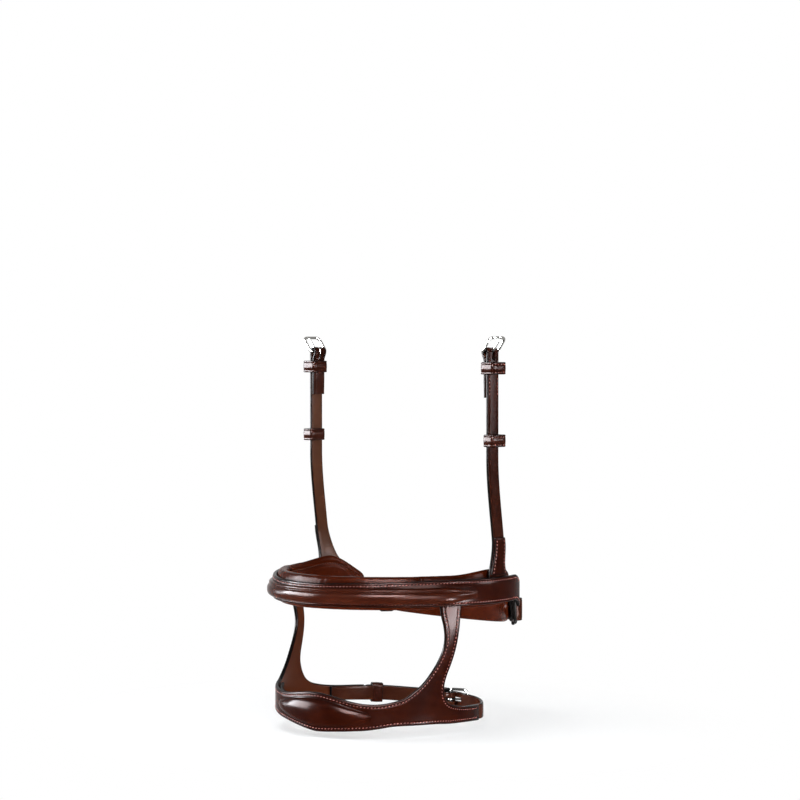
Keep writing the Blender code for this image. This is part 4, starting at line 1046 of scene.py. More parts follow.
def make_floor():
    """A pale floor that keeps the shadow near the noseband and shows white further away."""
    mesh = bpy.data.meshes.new("floor")
    z = cad_box[0].z - FLOOR_DROP
    corners = ((-1, -1), (1, -1), (1, 1), (-1, 1))
    mesh.from_pydata([(x * FLOOR_HALF, y * FLOOR_HALF, z) for x, y in corners], [], [(0, 1, 2, 3)])
    floor = add_object("floor", mesh)
    made = Shader("floor", 0.7, specular=0.2)
    made.set("Base Color", FLOOR_SHADE)
    far = made.add("VectorMath", {0: made.place, 1: (0, MIDDLE.y, z)}, "Value", operation="DISTANCE")
    fade = made.ranged(far, 0.06, 0.28, 0.5, 1.0)
    white = made.add("Math", {0: made.background_rays(), 1: fade}, operation="MULTIPLY")
    joined = made.add("MixShader", {0: white, 1: made.shader.outputs[0], 2: made.add("Emission", {})})
    made.put(made.nodes["Material Output"], "Surface", joined)
    mesh.materials.append(made.material)


def make_world():
    world = bpy.data.worlds.new("studio")
    bpy.context.scene.world = world
    world.use_nodes = True
    made = Nodes(world.node_tree)
    plain = made.nodes["Background"]
    made.put(plain, "Color", WHITE)
    made.put(plain, "Strength", WORLD_GLOW)
    white = made.add("Background", {"Color": WHITE})
    joined = made.add("MixShader", {0: made.background_rays(), 1: plain.outputs[0], 2: white})
    made.put(made.nodes["World Output"], "Surface", joined)


def soft_lamp(name, spot, size, glow, aim=(0, 0, 0), reflected=False):
    """An area lamp that faces its aim. It only lights surfaces, or only shows in gloss and metal."""
    data = bpy.data.lights.new(name, "AREA")
    data.shape = "RECTANGLE"
    data.size, data.size_y = size
    data.energy = glow * math.pi * size[0] * size[1]
    data.color = COOL if reflected else (1, 1, 1)
    lamp = add_object(name, data)
    lamp.visible_camera = False
    lamp.visible_glossy = reflected
    lamp.visible_diffuse = not reflected
    to_frame = Matrix((PHOTO_RIGHT, PHOTO_TOWARD, UP)).transposed()
    lamp.location = MIDDLE + to_frame @ Vector(spot)
    lamp.rotation_mode = "QUATERNION"
    lamp.rotation_quaternion = (MIDDLE + to_frame @ Vector(aim) - lamp.location).to_track_quat("-Z", "Y")


def make_stage():
    make_camera()
    make_floor()
    make_world()
    for lamp in LIGHTS:
        soft_lamp(*lamp)
    for lamp in REFLECTED:
        soft_lamp(*lamp, reflected=True)
    scene = bpy.context.scene
    scene.view_settings.view_transform = "Standard"


# Upper band


def squared_section(low_out, high_out, low, high, power=3.2, count=40):
    """A padded section with full sides and rolled corners, as (out, height) pairs."""
    middle_out, middle = (low_out + high_out) / 2, (low + high) / 2
    half_out, half = abs(high_out - low_out) / 2, (high - low) / 2
    points = []
    for i in range(count):
        turn = math.tau * i / count
        cos, sin = math.cos(turn), math.sin(turn)
        reach = (abs(cos) ** power + abs(sin) ** power) ** (-1 / power)
        points.append((middle_out + half_out * cos * reach, middle + half * sin * reach))
    return points


def band_section(degrees):
    """The outer leather's section as (out, height, paint and shade), with its two stitching channels darkened with
    painted shade.
    """
    low, high = band_edges(degrees)
    points = strap_section((high - low) / 2, BAND_LEATHER, STITCH_IN - 0.0002, 0.0)
    return [(GAP / 2 + BAND_LEATHER / 2 + out, (low + high) / 2 + across, paint_and_shade) for across, out, paint_and_shade in points]


def upper_band():
    rings, paints_and_shades = [], []
    edge = BAND_LEATHER * EDGE_ROUND_SHARE / UPPER.speed(BAND_END)
    middle = GAP / 2 + BAND_LEATHER / 2
    start = BAND_END - edge * ROUND_START_SHARE
    for degrees in [-BAND_END, -start, *span(-BAND_END, BAND_END, FINE_TURN)[1:-1], start, BAND_END]:
        left = (BAND_END - abs(degrees)) / edge
        full = between(0.5, 1, rounded(left))
        section = band_section(degrees)
        rings.append([UPPER.at(degrees, middle + (out - middle) * full, z) for out, z, _ in section])
        paints_and_shades.append([max(paint_and_shade, end_paint(left)) for _, _, paint_and_shade in section])
    dress(skin("outer_band", rings, paints_and_shades, OUTER), "noseband", "dark_leather", "upper_band_leather")

    def spots(degrees):
        low, high = band_edges(degrees)
        out, normal = GAP / 2 + BAND_LEATHER - STITCH_SINK, UPPER.normal(degrees)
        return [(UPPER.at(degrees, out, z), normal) for z in (low + STITCH_IN, high - STITCH_IN)]

    stations = span(STITCH_END - BAND_END, BAND_END - STITCH_END, FINE_TURN)
    stitching("outer_band_stitches", paired(stations, spots), "noseband")


STITCH_END = 2.0
LINING_ROUND_TURN = 3.2
CHANNEL_SHARE = 0.60
CHANNEL_SPREAD = 0.055
CHANNEL_DEPTH = 0.00125
CHANNEL_LIFT = 0.00007
PULL_DEPTH = 0.00016
RIDGE = [(-1, 0), (-0.965, 0.30), (-0.90, 0.52), (-0.78, 0.75), (-0.62, 0.91), (-0.42, 0.985), (-0.2, 1.0)]
RIDGE += [(0.0, 0.985), (0.18, 0.93), (0.32, 0.83), (0.42, 0.69), (0.48, 0.56), (0.52, 0.50), (0.56, 0.52)]
RIDGE += [(0.62, 0.60), (0.70, 0.645), (0.78, 0.63), (0.87, 0.53), (0.94, 0.36), (0.985, 0.18), (1, 0)]


def facing():
    """The facing on the front: a broad ridge with a narrow bead over it, both run out at the ends."""
    base = GAP / 2 + BAND_LEATHER + GAP
    rings = []
    for degrees in span(-FACING_END, FACING_END, FINE_TURN):
        share = eased((FACING_END - abs(degrees)) / FACING_TAPER)
        rise = FACING_RISE * between(0.05, 1, share)
        half = FACING_HEIGHT / 2 * between(0.45, 1, share)
        rings.append([UPPER.at(degrees, base + rise * out, half * up - FACING_LOWER) for up, out in RIDGE])
    # Painted shade: 0.32 darkens the groove between ridge and bead, 0.45 the edges where the facing meets the band.
    paints_and_shades = [[0.32 if 0.48 <= up <= 0.57 else (0.45 if abs(up) > 0.97 else 0.0) for up, _ in RIDGE]] * len(rings)
    dress(skin("raised_facing", rings, paints_and_shades, FACING, sharp=70), "noseband", "dark_leather", "upper_band_facing")


def lining_box(degrees):
    """Inner and outer faces, bottom and top of the lining at an angle."""
    middle = band_middle(degrees)
    rise = LINING_RISE * eased(1 - abs(abs(degrees) - HANGER_ANGLE) / LINING_RISE_REACH)
    low, high = middle - LINING_HEIGHT / 2, middle + LINING_HEIGHT / 2 + rise
    front = GAP + (pocket_depth() - GAP) * eased((abs(degrees) - POCKET_START) / 3 + 1)
    return -LINING_BACK, -front, low, high


def lining():
    """The padded lining: full rolls along its edges, a sewn channel inside them darkened with painted shade, and
    soft pull marks.
    """
    rings, paints_and_shades = [], []
    for degrees in span(-LINING_END, LINING_END, FINE_TURN / 1.5):
        inner, outer, low, high = lining_box(degrees)
        full = rounded((LINING_END - abs(degrees)) / LINING_ROUND_TURN, 0.02)
        middle_out, middle = (inner + outer) / 2, (low + high) / 2
        row, edge_paint_and_shade = [], []
        for out, z in squared_section(outer, inner, low, high, 3.4, 56):
            up = (z - middle) / ((high - low) / 2)
            inward = (middle_out - out) / (abs(outer - inner) / 2)
            away = (abs(up) - CHANNEL_SHARE) / CHANNEL_SPREAD
            channel = math.exp(-(away**2)) * CHANNEL_DEPTH if inward > 0.2 else 0.0
            pull = noise.noise(Vector((degrees * 0.55, up * 3.1, inward))) * PULL_DEPTH
            out = middle_out + (out - middle_out) * full + channel + pull * full
            z = middle + (z - middle) * between(0.72, 1, full) + pull * 0.6
            row.append(UPPER.at(degrees, min(out, outer), z))
            # Painted shade darkens the sewn channel.
            edge_paint_and_shade.append(0.35 if channel > 0.0007 else 0.0)
        rings.append(row)
        paints_and_shades.append(edge_paint_and_shade)
    made = skin("padded_lining", rings, paints_and_shades, LINING, sharp=80)
    dress(made, "noseband", "lining_leather", "upper_band_lining")

    def spots(degrees):
        inner, _, low, high = lining_box(degrees)
        out, normal = inner + CHANNEL_DEPTH - CHANNEL_LIFT, -UPPER.normal(degrees)
        heights = [between(low, high, 0.5 + up / 2) for up in (-CHANNEL_SHARE, CHANNEL_SHARE)]
        return [(UPPER.at(degrees, out, z), normal) for z in heights]

    stations = span(2 * STITCH_END - LINING_END, LINING_END - 2 * STITCH_END, FINE_TURN)
    stitching("lining_stitches", paired(stations, spots), "noseband", LINING_THREAD)


# Hangers

HANGER_SEAMS = (0.0045, 0.0085), (0.0185, 0.0325)
SEAM_STEP = 0.001
PATCH_THREAD_SINK = 0.00004
PATCH_SEAM_FOOT, PATCH_SEAM_TOP = 0.0005, 0.002
NORMAL_STEP = 0.0001


def hanger_normal(side, across, z):
    step = hanger_point(side, across + NORMAL_STEP, z) - hanger_point(side, across - NORMAL_STEP, z)
    rise = hanger_point(side, across, z + NORMAL_STEP) - hanger_point(side, across, z - NORMAL_STEP)
    out = step.cross(rise).normalized()
    return out if out.x * side > 0 else -out


def hanger_row(side, z, full, thick, margin=0.0, lift=0.0):
    """A strap's section laid across a hanger at a height: its points, and the section. Full rounds its end."""
    front, rear = wing_columns(min(z, WING_TOP), margin)
    middle, half = (front + rear) / 2, (rear - front) / 2
    half -= 0.5 * thick * EDGE_ROUND_SHARE * (1 - full)
    section = strap_section(half, thick * between(THIN_EDGE_SHARE, 1, full))
    row = []
    for across, out, _ in section:
        normal = hanger_normal(side, middle + across, z)
        row.append(hanger_point(side, middle + across, z) + normal * (out + lift))
    return row, section


def wing_patch(side, name):
    """The stitched patch over a hanger's flared foot."""
    radius = WING_PATCH_THICK * EDGE_ROUND_SHARE
    low, top = BAND_HEIGHT / 2 + GAP + LINING_RISE / 2, WING_TOP - WING_PATCH_MARGIN
    lift = HANGER_THICK / 2 + GAP + WING_PATCH_THICK / 2
    start = radius * ROUND_START_SHARE
    rings, paints_and_shades = [], []
    for z in [low, low + start, *span(low + radius, top - radius, FINE_STEP), top - start, top]:
        away = min(z - low, top - z) / radius
        row, section = hanger_row(side, z, rounded(away), WING_PATCH_THICK, WING_PATCH_MARGIN, lift)
        rings.append(row)
        paints_and_shades.append([max(paint_and_shade, end_paint(away)) for _, _, paint_and_shade in section])
    dress(skin(f"{name}_patch", rings, paints_and_shades, OUTER), "noseband", "dark_leather", f"{name}_wing_patch")
    thread_lift = lift + WING_PATCH_THICK / 2 - PATCH_THREAD_SINK

    def spots(z):
        front, rear = wing_columns(z, WING_PATCH_MARGIN)
        places = [(across, hanger_normal(side, across, z)) for across in (front + CREASE_IN, rear - CREASE_IN)]
        return [(hanger_point(side, across, z) + out * thread_lift, out) for across, out in places]

    stations = span(low + PATCH_SEAM_FOOT, WING_TOP - PATCH_SEAM_TOP, FINE_STEP)
    stitching(f"{name}_patch_stitches", paired(stations, spots), "noseband")


def hanger_leather(side, name):
    """The hanger's leather in one piece: its flared foot, the strap, and the fold round the buckle's bar."""
    rings, paints_and_shades = [], []

    def add(row, section, edge_paint_and_shade):
        """Adds a ring. Where it faces inward and has no edge paint or painted shade, its value is -1, which is the
        back's own colour.
        """
        rings.append(row)
        painted = [(max(paint_and_shade, edge_paint_and_shade), out) for _, out, paint_and_shade in section]
        paints_and_shades.append([-1.0 if out < 0 and paint_and_shade < 0.05 else paint_and_shade for paint_and_shade, out in painted])

    radius = HANGER_THICK * EDGE_ROUND_SHARE
    heights = span(radius - WING_DEPTH, HANGER_BAR_HEIGHT, FINE_STEP)
    for z in [-WING_DEPTH, radius * ROUND_START_SHARE - WING_DEPTH, *heights]:
        full = rounded((z + WING_DEPTH) / radius)
        add(*hanger_row(side, z, full, HANGER_THICK), end_paint(full))
    place = hanger_matrix(side, HANGER_BAR_HEIGHT)
    fold = fold_arc(fold_radius(HANGER_THICK, WIRE), 20)[1:] + fold_back(HANGER_THICK, WIRE, HANGER_RETURN)
    points = smoothed(resampled(placed(place, fold), FINE_STEP), 1)
    across = Vector((0, 1, 0))
    for i, (point, out) in enumerate(frames_along(points, across, side)):
        left = (len(points) - 1 - i) * FINE_STEP
        share = min(1.0, 0.12 + 0.88 * eased(left / (HANGER_THICK * 6)))
        section = strap_section(HANGER_WIDTH / 2, HANGER_THICK * between(THIN_EDGE_SHARE, 1, share))
        add([point + across * a + out * o for a, o, _ in section], section, 0.2 * end_paint(share))
    return skin(f"{name}_hanger_leather", rings, paints_and_shades, HANGER)


def hanger(side, name):
    wing_patch(side, name)
    body = f"{name}_hanger"
    strap = hanger_leather(side, name)
    place = hanger_matrix(side, HANGER_BAR_HEIGHT)
    slot_fold(strap, place, HANGER_THICK)
    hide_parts(f"{name}_wing", f"{name}_hanger_strap")
    flex = flex_point(side)
    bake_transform(strap)

    outer = fold_radius(HANGER_THICK, WIRE) + HANGER_THICK / 2
    doubled = outer - 2 * HANGER_THICK - GAP
    out = Vector((side, 0, 0))
    tracks = []
    for sideways in (CREASE_IN - HANGER_WIDTH / 2, HANGER_WIDTH / 2 - CREASE_IN):
        for start, end in HANGER_SEAMS:
            seam = placed(place, [(-along, outer) for along in span(start, end, SEAM_STEP)])
            tracks.append([(point + Vector((0, sideways, 0)), out) for point in seam])
    stitching(f"{name}_strap_stitches", tracks, body)
    high = outer + BILLET_SPACE
    place = hanger_matrix(side, HANGER_BAR_HEIGHT - FIXED_KEEPER_DROP)
    loop(f"{name}_sewn_keeper", f"{name}_hanger_keeper", body, place, doubled, high, HANGER_WIDTH, KEEPER_BAND)
    place = hanger_matrix(side, HANGER_BAR_HEIGHT - RUNNER_DROP)
    runner = f"{name}_hanger_runner"
    loop(f"{name}_sliding_loop", runner, runner, place, outer - HANGER_THICK, high, HANGER_WIDTH, KEEPER_BAND)
    buckle(body, body, hanger_matrix(side, HANGER_BAR_HEIGHT), HANGER_WIDTH, HANGER_FRAME_TILT)


# Keepers, buckles and folds

WIRE_STEP = 0.0009
KEEPER_ROUND = KEEPER_WALL * 0.42
KEEPER_CROWN = 0.0001
KEEPER_CREASE_HALF = 0.0004
KEEPER_CREASE_DEPTH = 0.0002


def slot_fold(strap, place, thickness):
    """The slot that lets a tongue through the fold at a buckle's bar."""
    reach = fold_radius(thickness, WIRE) + thickness / 2 + GAP
    size = (2 * reach + TONGUE_SLOT_RUN, 2 * reach + OVERRUN, TONGUE_SLOT)
    cut(strap, size, place @ Matrix.Translation((-TONGUE_SLOT_RUN / 2, 0, 0)))


def loop(name, node, body, place, low, high, width, band, gap=GAP):
    """A keeper: a leather loop with rounded edges, creased and stitched along both of them, its creases darkened
    with painted shade.
    """
    half = width / 2 + gap
    corner = gap * KEEPER_CORNER_SHARE
    near, far, across = low - gap + corner, high + gap - corner, half - corner
    spots = [(far, across, 0), (near, across, 90), (near, -across, 180), (far, -across, 270)]
    track = []
    for (out, across, start), after in zip(spots, spots[1:] + spots[:1]):
        for turn in span(start, start + 90, 15):
            angle = math.radians(turn)
            track.append((Vector((out, across)), Vector((math.cos(angle), math.sin(angle)))))
        here, way = track[-1]
        track += [(here.lerp(Vector(after[:2]), share), way) for share in (0.2, 0.4, 0.6, 0.8)]
    edge = band / 2
    crease = edge - CREASE_IN
    bevel = KEEPER_ROUND * 0.3
    face = [(edge, KEEPER_WALL - KEEPER_ROUND, 1.0), (edge - bevel, KEEPER_WALL - bevel, 0.8)]
    face += [(edge - KEEPER_ROUND, KEEPER_WALL, 0.3), (crease + KEEPER_CREASE_HALF, KEEPER_WALL, 0)]
    # The crease's 0.3 is painted shade; the other values are edge paint.
    face += [(crease, KEEPER_WALL - KEEPER_CREASE_DEPTH, 0.3), (crease - KEEPER_CREASE_HALF, KEEPER_WALL, 0)]
    section = [(band * share, 0.0, paint_and_shade) for share, paint_and_shade in ((-0.5, 0.6), (-0.25, 0), (0, 0), (0.25, 0), (0.5, 0.6))]
    section += [*face, (0, KEEPER_WALL + KEEPER_CROWN, 0)]
    section += [(-along, rise, paint_and_shade) for along, rise, paint_and_shade in reversed(face)]

    def on_loop(centre, way, along, rise):
        spot = centre + way * (corner + rise)
        return place @ Vector((along, spot.x, spot.y))

    rings = [[on_loop(centre, way, along, rise) for along, rise, _ in section] for centre, way in track]
    made = skin(name, rings, [[paint_and_shade for _, _, paint_and_shade in section]] * len(rings), LOOPS, closed=True)
    dress(made, body, "strap_leather", node)
    turned = place.to_3x3()
    out, upright = turned @ Vector((0, 1, 0)), abs((turned @ UP).z) > 0.5
    tracks = []
    for along in (-crease, crease):
        spots = [on_loop(centre, way, along, KEEPER_WALL - STITCH_SINK) for centre, way in track if way.x >= 0.9]
        spots.sort(key=lambda spot: spot.z if upright else spot.y)
        tracks.append([(spot, out) for spot in spots])
    stitching(f"{name}_stitches", tracks, body)


def wire_loop(name, place, length, half, corner, diameter, metal):
    """A closed wire round a loop that lies in a place's plane."""
    points = [place @ Vector((x, 0, across)) for x, across in rounded_loop(length, half, corner)]
    points = resampled([*points, points[0]], WIRE_STEP)[:-1]
    return round_wire(name, points, diameter, metal, closed=True)


def buckle(prefix, body, place, strap_width, tilt):
    """A buckle's frame and tongue."""
    half = frame_half_width(strap_width, WIRE)
    turned = tilted(place, tilt)
    # The chin buckle gets the darker steel as painted shade and dark reflection.
    metal = SHADED_STEEL if prefix == "chin" else STEEL
    made = wire_loop(f"{prefix}_buckle", turned, FRAME_LENGTH, half, FRAME_CORNER, WIRE, metal)
    dress(made, f"{body}_frame", "steel", f"{prefix}_buckle_frame")
    hook = arc((0, 0), tongue_rise(), -20, -250, 24)
    (x, y), end = hook[-1], FRAME_LENGTH + TONGUE_OVERHANG + TONGUE_WIRE / 2
    run = [(between(x, end, share), between(y, tongue_rise(), share)) for share in (0.3, 0.6, 0.8, 1)]
    tongue = round_wire(f"{prefix}_pin", placed(turned, hook + run), TONGUE_WIRE, metal, sides=12)
    dress(tongue, f"{body}_tongue", "steel", f"{prefix}_buckle_tongue")


# Jaw strap, rings and pad

SEAM_CLEAR = 0.001
JAW_SEAM_START = 0.0135


def ring_shape(side, name):
    z = band_middle(side * ring_end())
    first = UPPER.at(RING_ANGLE, chape_bar_out(), z)
    second = UPPER.at(ring_end(), ring_bar_out(side), z)
    outward = UPPER.normal(RING_ANGLE)
    for vector in (first, second, outward):
        vector.x *= side
    length = (second - first).length
    place = frame_matrix(first, second - first, outward)
    half = JAW_WIDTH / 2 + RING_SIDE_ROOM + RING_WIRE / 2
    # The ring's wire is near black as painted shade.
    made = wire_loop(f"{name}_wire_ring", place, length, half, RING_CORNER, RING_WIRE, RING_SHADE_BLACK)
    dress(made, "noseband", "steel", f"{name}_ring")
    if side == 1:
        sleeve(place @ Matrix.Translation((length, 0, 0)))


def sleeve(place):
    """The roller on the near ring, with turned-in ends."""
    half = JAW_WIDTH / 2 + RING_SIDE_ROOM / 2
    bore = RING_WIRE / 2 + GAP
    lip = 0.0004
    end = [(bore, half), (ROLLER_RADIUS - lip, half), (ROLLER_RADIUS - lip * 0.3, half - lip * 0.3)]
    end += [(ROLLER_RADIUS, half - lip)]
    profile = [(r, -z) for r, z in end] + end[::-1]
    rings = []
    for i in range(36):
        turn = math.tau * i / 36
        rings.append([place @ Vector((r * math.cos(turn), r * math.sin(turn), z)) for r, z in profile])
    # The roller is near black as painted shade.
    made = skin("ring_sleeve", rings, [[0.0] * len(profile)] * 36, RING_SHADE_BLACK, closed=True, sharp=40)
    dress(made, "ring_roller", "steel", "near_ring_roller")


def chape(side, name):
    """The leather folded round the ring's first bar, near black as painted shade."""
    z = band_middle(side * ring_end())
    start = UPPER.after(RING_ANGLE, -CHAPE_LENGTH)
    radius = fold_radius(CHAPE_THICK, RING_WIRE)
    bar_out = chape_bar_out()
    place = frame_matrix(UPPER.at(RING_ANGLE, bar_out, z), UPPER.tangent(RING_ANGLE), UPPER.normal(RING_ANGLE))

    def layer(along, out):
        degrees = UPPER.after(RING_ANGLE, along)
        share = eased((degrees - start) / (RING_ANGLE - start))
        return UPPER.at(degrees, bar_out + out, between(band_middle(side * degrees), z, share))

    points = [layer(along, radius) for along in span(-CHAPE_LENGTH, -radius, FINE_STEP)]
    points += placed(place, fold_arc(radius, 16))
    points += [layer(along, out) for along, out in fold_back(CHAPE_THICK, RING_WIRE, CHAPE_LENGTH)]
    points = [Vector((side * point.x, point.y, point.z)) for point in points]
    made = ribbon(f"{name}_chape", points, JAW_WIDTH - 2 * GAP, CHAPE_THICK, SHADE_BLACK, face=-side)
    dress(made, "noseband", "strap_leather", f"{name}_ring_chape")


def sewn_strap(closure, prefix, points, returned):
    """The strap that ends in a fold round the buckle's bar, from its points before the fold."""
    points = points + closure.fold()
    points += closure.run(-fold_settle(closure.thickness, WIRE), -returned, closure.back_out)
    strap = ribbon(f"{prefix}_strap_leather", points, closure.width, closure.thickness, STRAP)
    slot_fold(strap, closure.bar(), closure.thickness)
    dress(strap, "noseband", "strap_leather", f"{prefix}_strap")


def free_end(closure, prefix, points, rest_out, past):
    """The billet, from its points before the frame: over the bar with its long hole, and past the keepers."""
    points = points + closure.billet_over(rest_out) + closure.run(0.0, -past, closure.billet_out)
    width = closure.width
    billet = ribbon(f"{prefix}_billet_leather", points, width, closure.thickness, STRAP, face=-1, tip=width / 2)
    middle = FRAME_LENGTH * HOLE_MIDDLE_SHARE
    place = closure.place(middle, between(closure.billet_out, rest_out, HOLE_MIDDLE_SHARE))
    cut(billet, (FRAME_LENGTH * HOLE_LENGTH_SHARE, HOLE_CUT_DEPTH, TONGUE_SLOT), place)
    dress(billet, "noseband", "strap_leather", f"{prefix}_billet")


def jaw_straps():
    closure = jaw_closure()
    ring_along = closure.along(360 - ring_end())
    ring_out, ring_radius = ring_bar_out(-1), fold_radius(JAW_THICK, RING_WIRE)
    settled = ring_out + fold_back_out(JAW_THICK, RING_WIRE)
    place = closure.place(ring_along, ring_out)
    points = closure.run(ring_along + OFF_RING_RETURN, ring_along + fold_settle(JAW_THICK, RING_WIRE), settled)
    points += placed(place, fold_arc(ring_radius, 18)[::-1], -1)
    points += closure.run(ring_along + ring_radius, -fold_radius(JAW_THICK, WIRE), JAW_OUT)
    sewn_strap(closure, "jaw", points, JAW_RETURN)
    ring_seam = (ring_along + ring_radius + 2 * SEAM_CLEAR, ring_along + OFF_RING_RETURN - SEAM_CLEAR)
    tracks = []
    for start, end in ((SEAM_CLEAR - JAW_RETURN, -JAW_SEAM_START), ring_seam):
        tracks += edge_tracks(closure.run(start, end, JAW_OUT), JAW_WIDTH, JAW_THICK, 1)
    stitching("jaw_strap_stitches", tracks, "noseband")

    ring_along = closure.along(ring_end())
    inner = pad_layer_out()
    rest = inner + JAW_THICK + GAP
    settle = ring_along - JAW_RING_RUN
    place = closure.place(ring_along, ring_bar_out(1))
    points = closure.run(fold_radius(JAW_THICK, WIRE) + JAW_THICK / 2 + 2 * GAP, settle, inner)
    points += placed(place, arc((0, 0), roller_turn(), -90, 90 + ROLLER_LAY_TURN, 24))
    points += closure.run(settle, FRAME_LENGTH * RUN_START_SHARE, rest)
    free_end(closure, "jaw", points, rest, JAW_BILLET_PAST)
    closure_hardware(closure, "jaw", rest, JAW_RUNNER_PAST)


def closure_hardware(closure, prefix, rest_out, runner_past):
    buckle(prefix, prefix, closure.bar(), closure.width, closure.frame_tilt(rest_out))
    outer = closure.billet_out + closure.thickness / 2
    doubled = closure.back_out - closure.thickness / 2
    single = closure.strap_out - closure.thickness / 2
    place = closure.place(-CLOSURE_KEEPER_DROP, doubled)
    sizes = (place, 0.0, outer - doubled, closure.width, CLOSURE_KEEPER_BAND, RUN_GAP)
    loop(f"{prefix}_sewn_keeper", f"{prefix}_keeper", "noseband", *sizes)
    place = closure.place(-runner_past, single)
    sizes = (place, 0.0, outer - single, closure.width, KEEPER_BAND, RUN_GAP)
    loop(f"{prefix}_sliding_loop", f"{prefix}_runner", f"{prefix}_runner", *sizes)


def pad_shape(degrees):
    """Back face, thickness, half height and middle height of the jaw pad at an angle."""
    middle = (PAD_NEAR_TIP + PAD_OFF_TIP) / 2
    half = (PAD_OFF_TIP - PAD_NEAR_TIP) / 2
    near_face = pad_layer_out() - JAW_THICK / 2 - GAP
    ring_face = chape_bar_out() - fold_radius(CHAPE_THICK, RING_WIRE) - CHAPE_THICK / 2 - GAP
    away = (degrees - middle) / half
    full = math.sqrt(max(1 - away * away, 0))
    height = between(PAD_TIP_HEIGHT, PAD_HEIGHT, full) / 2
    thick = PAD_THICK * between(0.4, 1, full)
    step = eased(max(PAD_NEAR_STEP - degrees, degrees - PAD_OFF_STEP) / PAD_STEP_RUN)
    z = PAD_RAISE + (band_middle(degrees) if degrees > 180 else -JAW_DROP)
    return between(near_face, ring_face, step), thick, height, z


PAD_ROUND_TURN = 1.4
PAD_PROFILE = [(0.00, -0.86), (0.0, -0.43), (0.00, 0.0), (0.0, 0.43), (0.00, 0.86), (-0.03, 0.93), (-0.10, 0.975)]
PAD_PROFILE += [(-0.20, 0.997), (-0.32, 0.99), (-0.43, 0.965), (-0.51, 0.925), (-0.545, 0.885), (-0.54, 0.85)]
PAD_PROFILE += [(-0.56, 0.81), (-0.63, 0.74), (-0.73, 0.64), (-0.84, 0.50), (-0.93, 0.34), (-0.985, 0.17)]


def jaw_cushion():
    """The jaw pad: a full leaf with a rolled rim, a sewn channel inside the rim darkened with painted shade, and a
    smooth back.
    """
    profile = PAD_PROFILE + [(-1.0, 0.0)] + [(out, -up) for out, up in reversed(PAD_PROFILE[5:])]
    rings = []
    for degrees in span(PAD_NEAR_TIP, PAD_OFF_TIP, FINE_TURN / 1.5):
        back, thick, height, z = pad_shape(degrees)
        full = rounded(min(degrees - PAD_NEAR_TIP, PAD_OFF_TIP - degrees) / PAD_ROUND_TURN, 0.03)
        height *= between(0.6, 1, full)
        row = []
        for out, up in profile:
            pull = noise.noise(Vector((degrees * 0.4, up * 2.6, 7.0))) * 0.00018 if out < -0.5 else 0.0
            row.append(UPPER.at(degrees, back + thick * out * full + pull, z + height * up))
        rings.append(row)
    # Painted shade darkens the sewn channel inside the rim.
    paints_and_shades = [[0.4 if abs(abs(up) - 0.85) < 0.02 and out < -0.4 else 0.0 for out, up in profile]] * len(rings)
    made = skin("jaw_cushion", rings, paints_and_shades, LINING, sharp=75)
    dress(made, "noseband", "lining_leather", "jaw_pad")


# Lower band

FLAT_SCALE = math.degrees(1) / LOWER_HALF_DEPTH
OUTLINE_STEP = 0.0012
FILL_STEP = 0.0026
LOWER_ROUND = 0.0012
LOWER_PAINT = 0.0015
LOWER_FACE = 0.0038
SEAM_HALF = 0.00055
SEAM_DEPTH = 0.00024
SEAM_SINK = 0.00020
SEAM_TOP = -BAND_HEIGHT / 2 - 0.0015
SEAM_END = TAIL_END - 4
SEAM_IN = 0.0024
DOME = [(-1, 0.0), (-0.985, 0.10), (-0.95, 0.17), (-0.915, 0.18), (-0.885, 0.22), (-0.84, 0.34), (-0.76, 0.52)]
DOME += [(-0.64, 0.70), (-0.48, 0.85), (-0.3, 0.945), (-0.1, 0.99), (0.1, 1.0), (0.3, 0.96), (0.5, 0.86)]
DOME += [(0.66, 0.71), (0.78, 0.53), (0.86, 0.35), (0.90, 0.23), (0.93, 0.18), (0.96, 0.16), (0.985, 0.10), (1, 0)]


def curve_through(points, before=None, after=None):
    """Even points of a smooth curve through 2D points."""
    ends = [before or points[0] * 2 - points[1], *points, after or points[-1] * 2 - points[-2]]
    made = []
    for four in zip(ends, ends[1:], ends[2:], ends[3:]):
        knots = [0.0]
        for first, second in zip(four, four[1:]):
            knots.append(knots[-1] + max((second - first).length, 1e-6) ** 0.5)
        count = max(1, round((four[2] - four[1]).length / OUTLINE_STEP))
        for i in range(count):
            t, row = between(knots[1], knots[2], i / count), list(four)
            for reach, starts in ((1, (0, 1, 2)), (2, (0, 1)), (1, (1,))):
                row = [blended(row[j], row[j + 1], knots[s], knots[s + reach], t) for j, s in enumerate(starts)]
            made.append(row[0])
    return evened(made + [points[-1]])


def blended(p, q, low, high, t):
    return p * ((high - t) / (high - low)) + q * ((t - low) / (high - low))


def flat(degrees, z):
    return Vector((degrees / FLAT_SCALE, z))


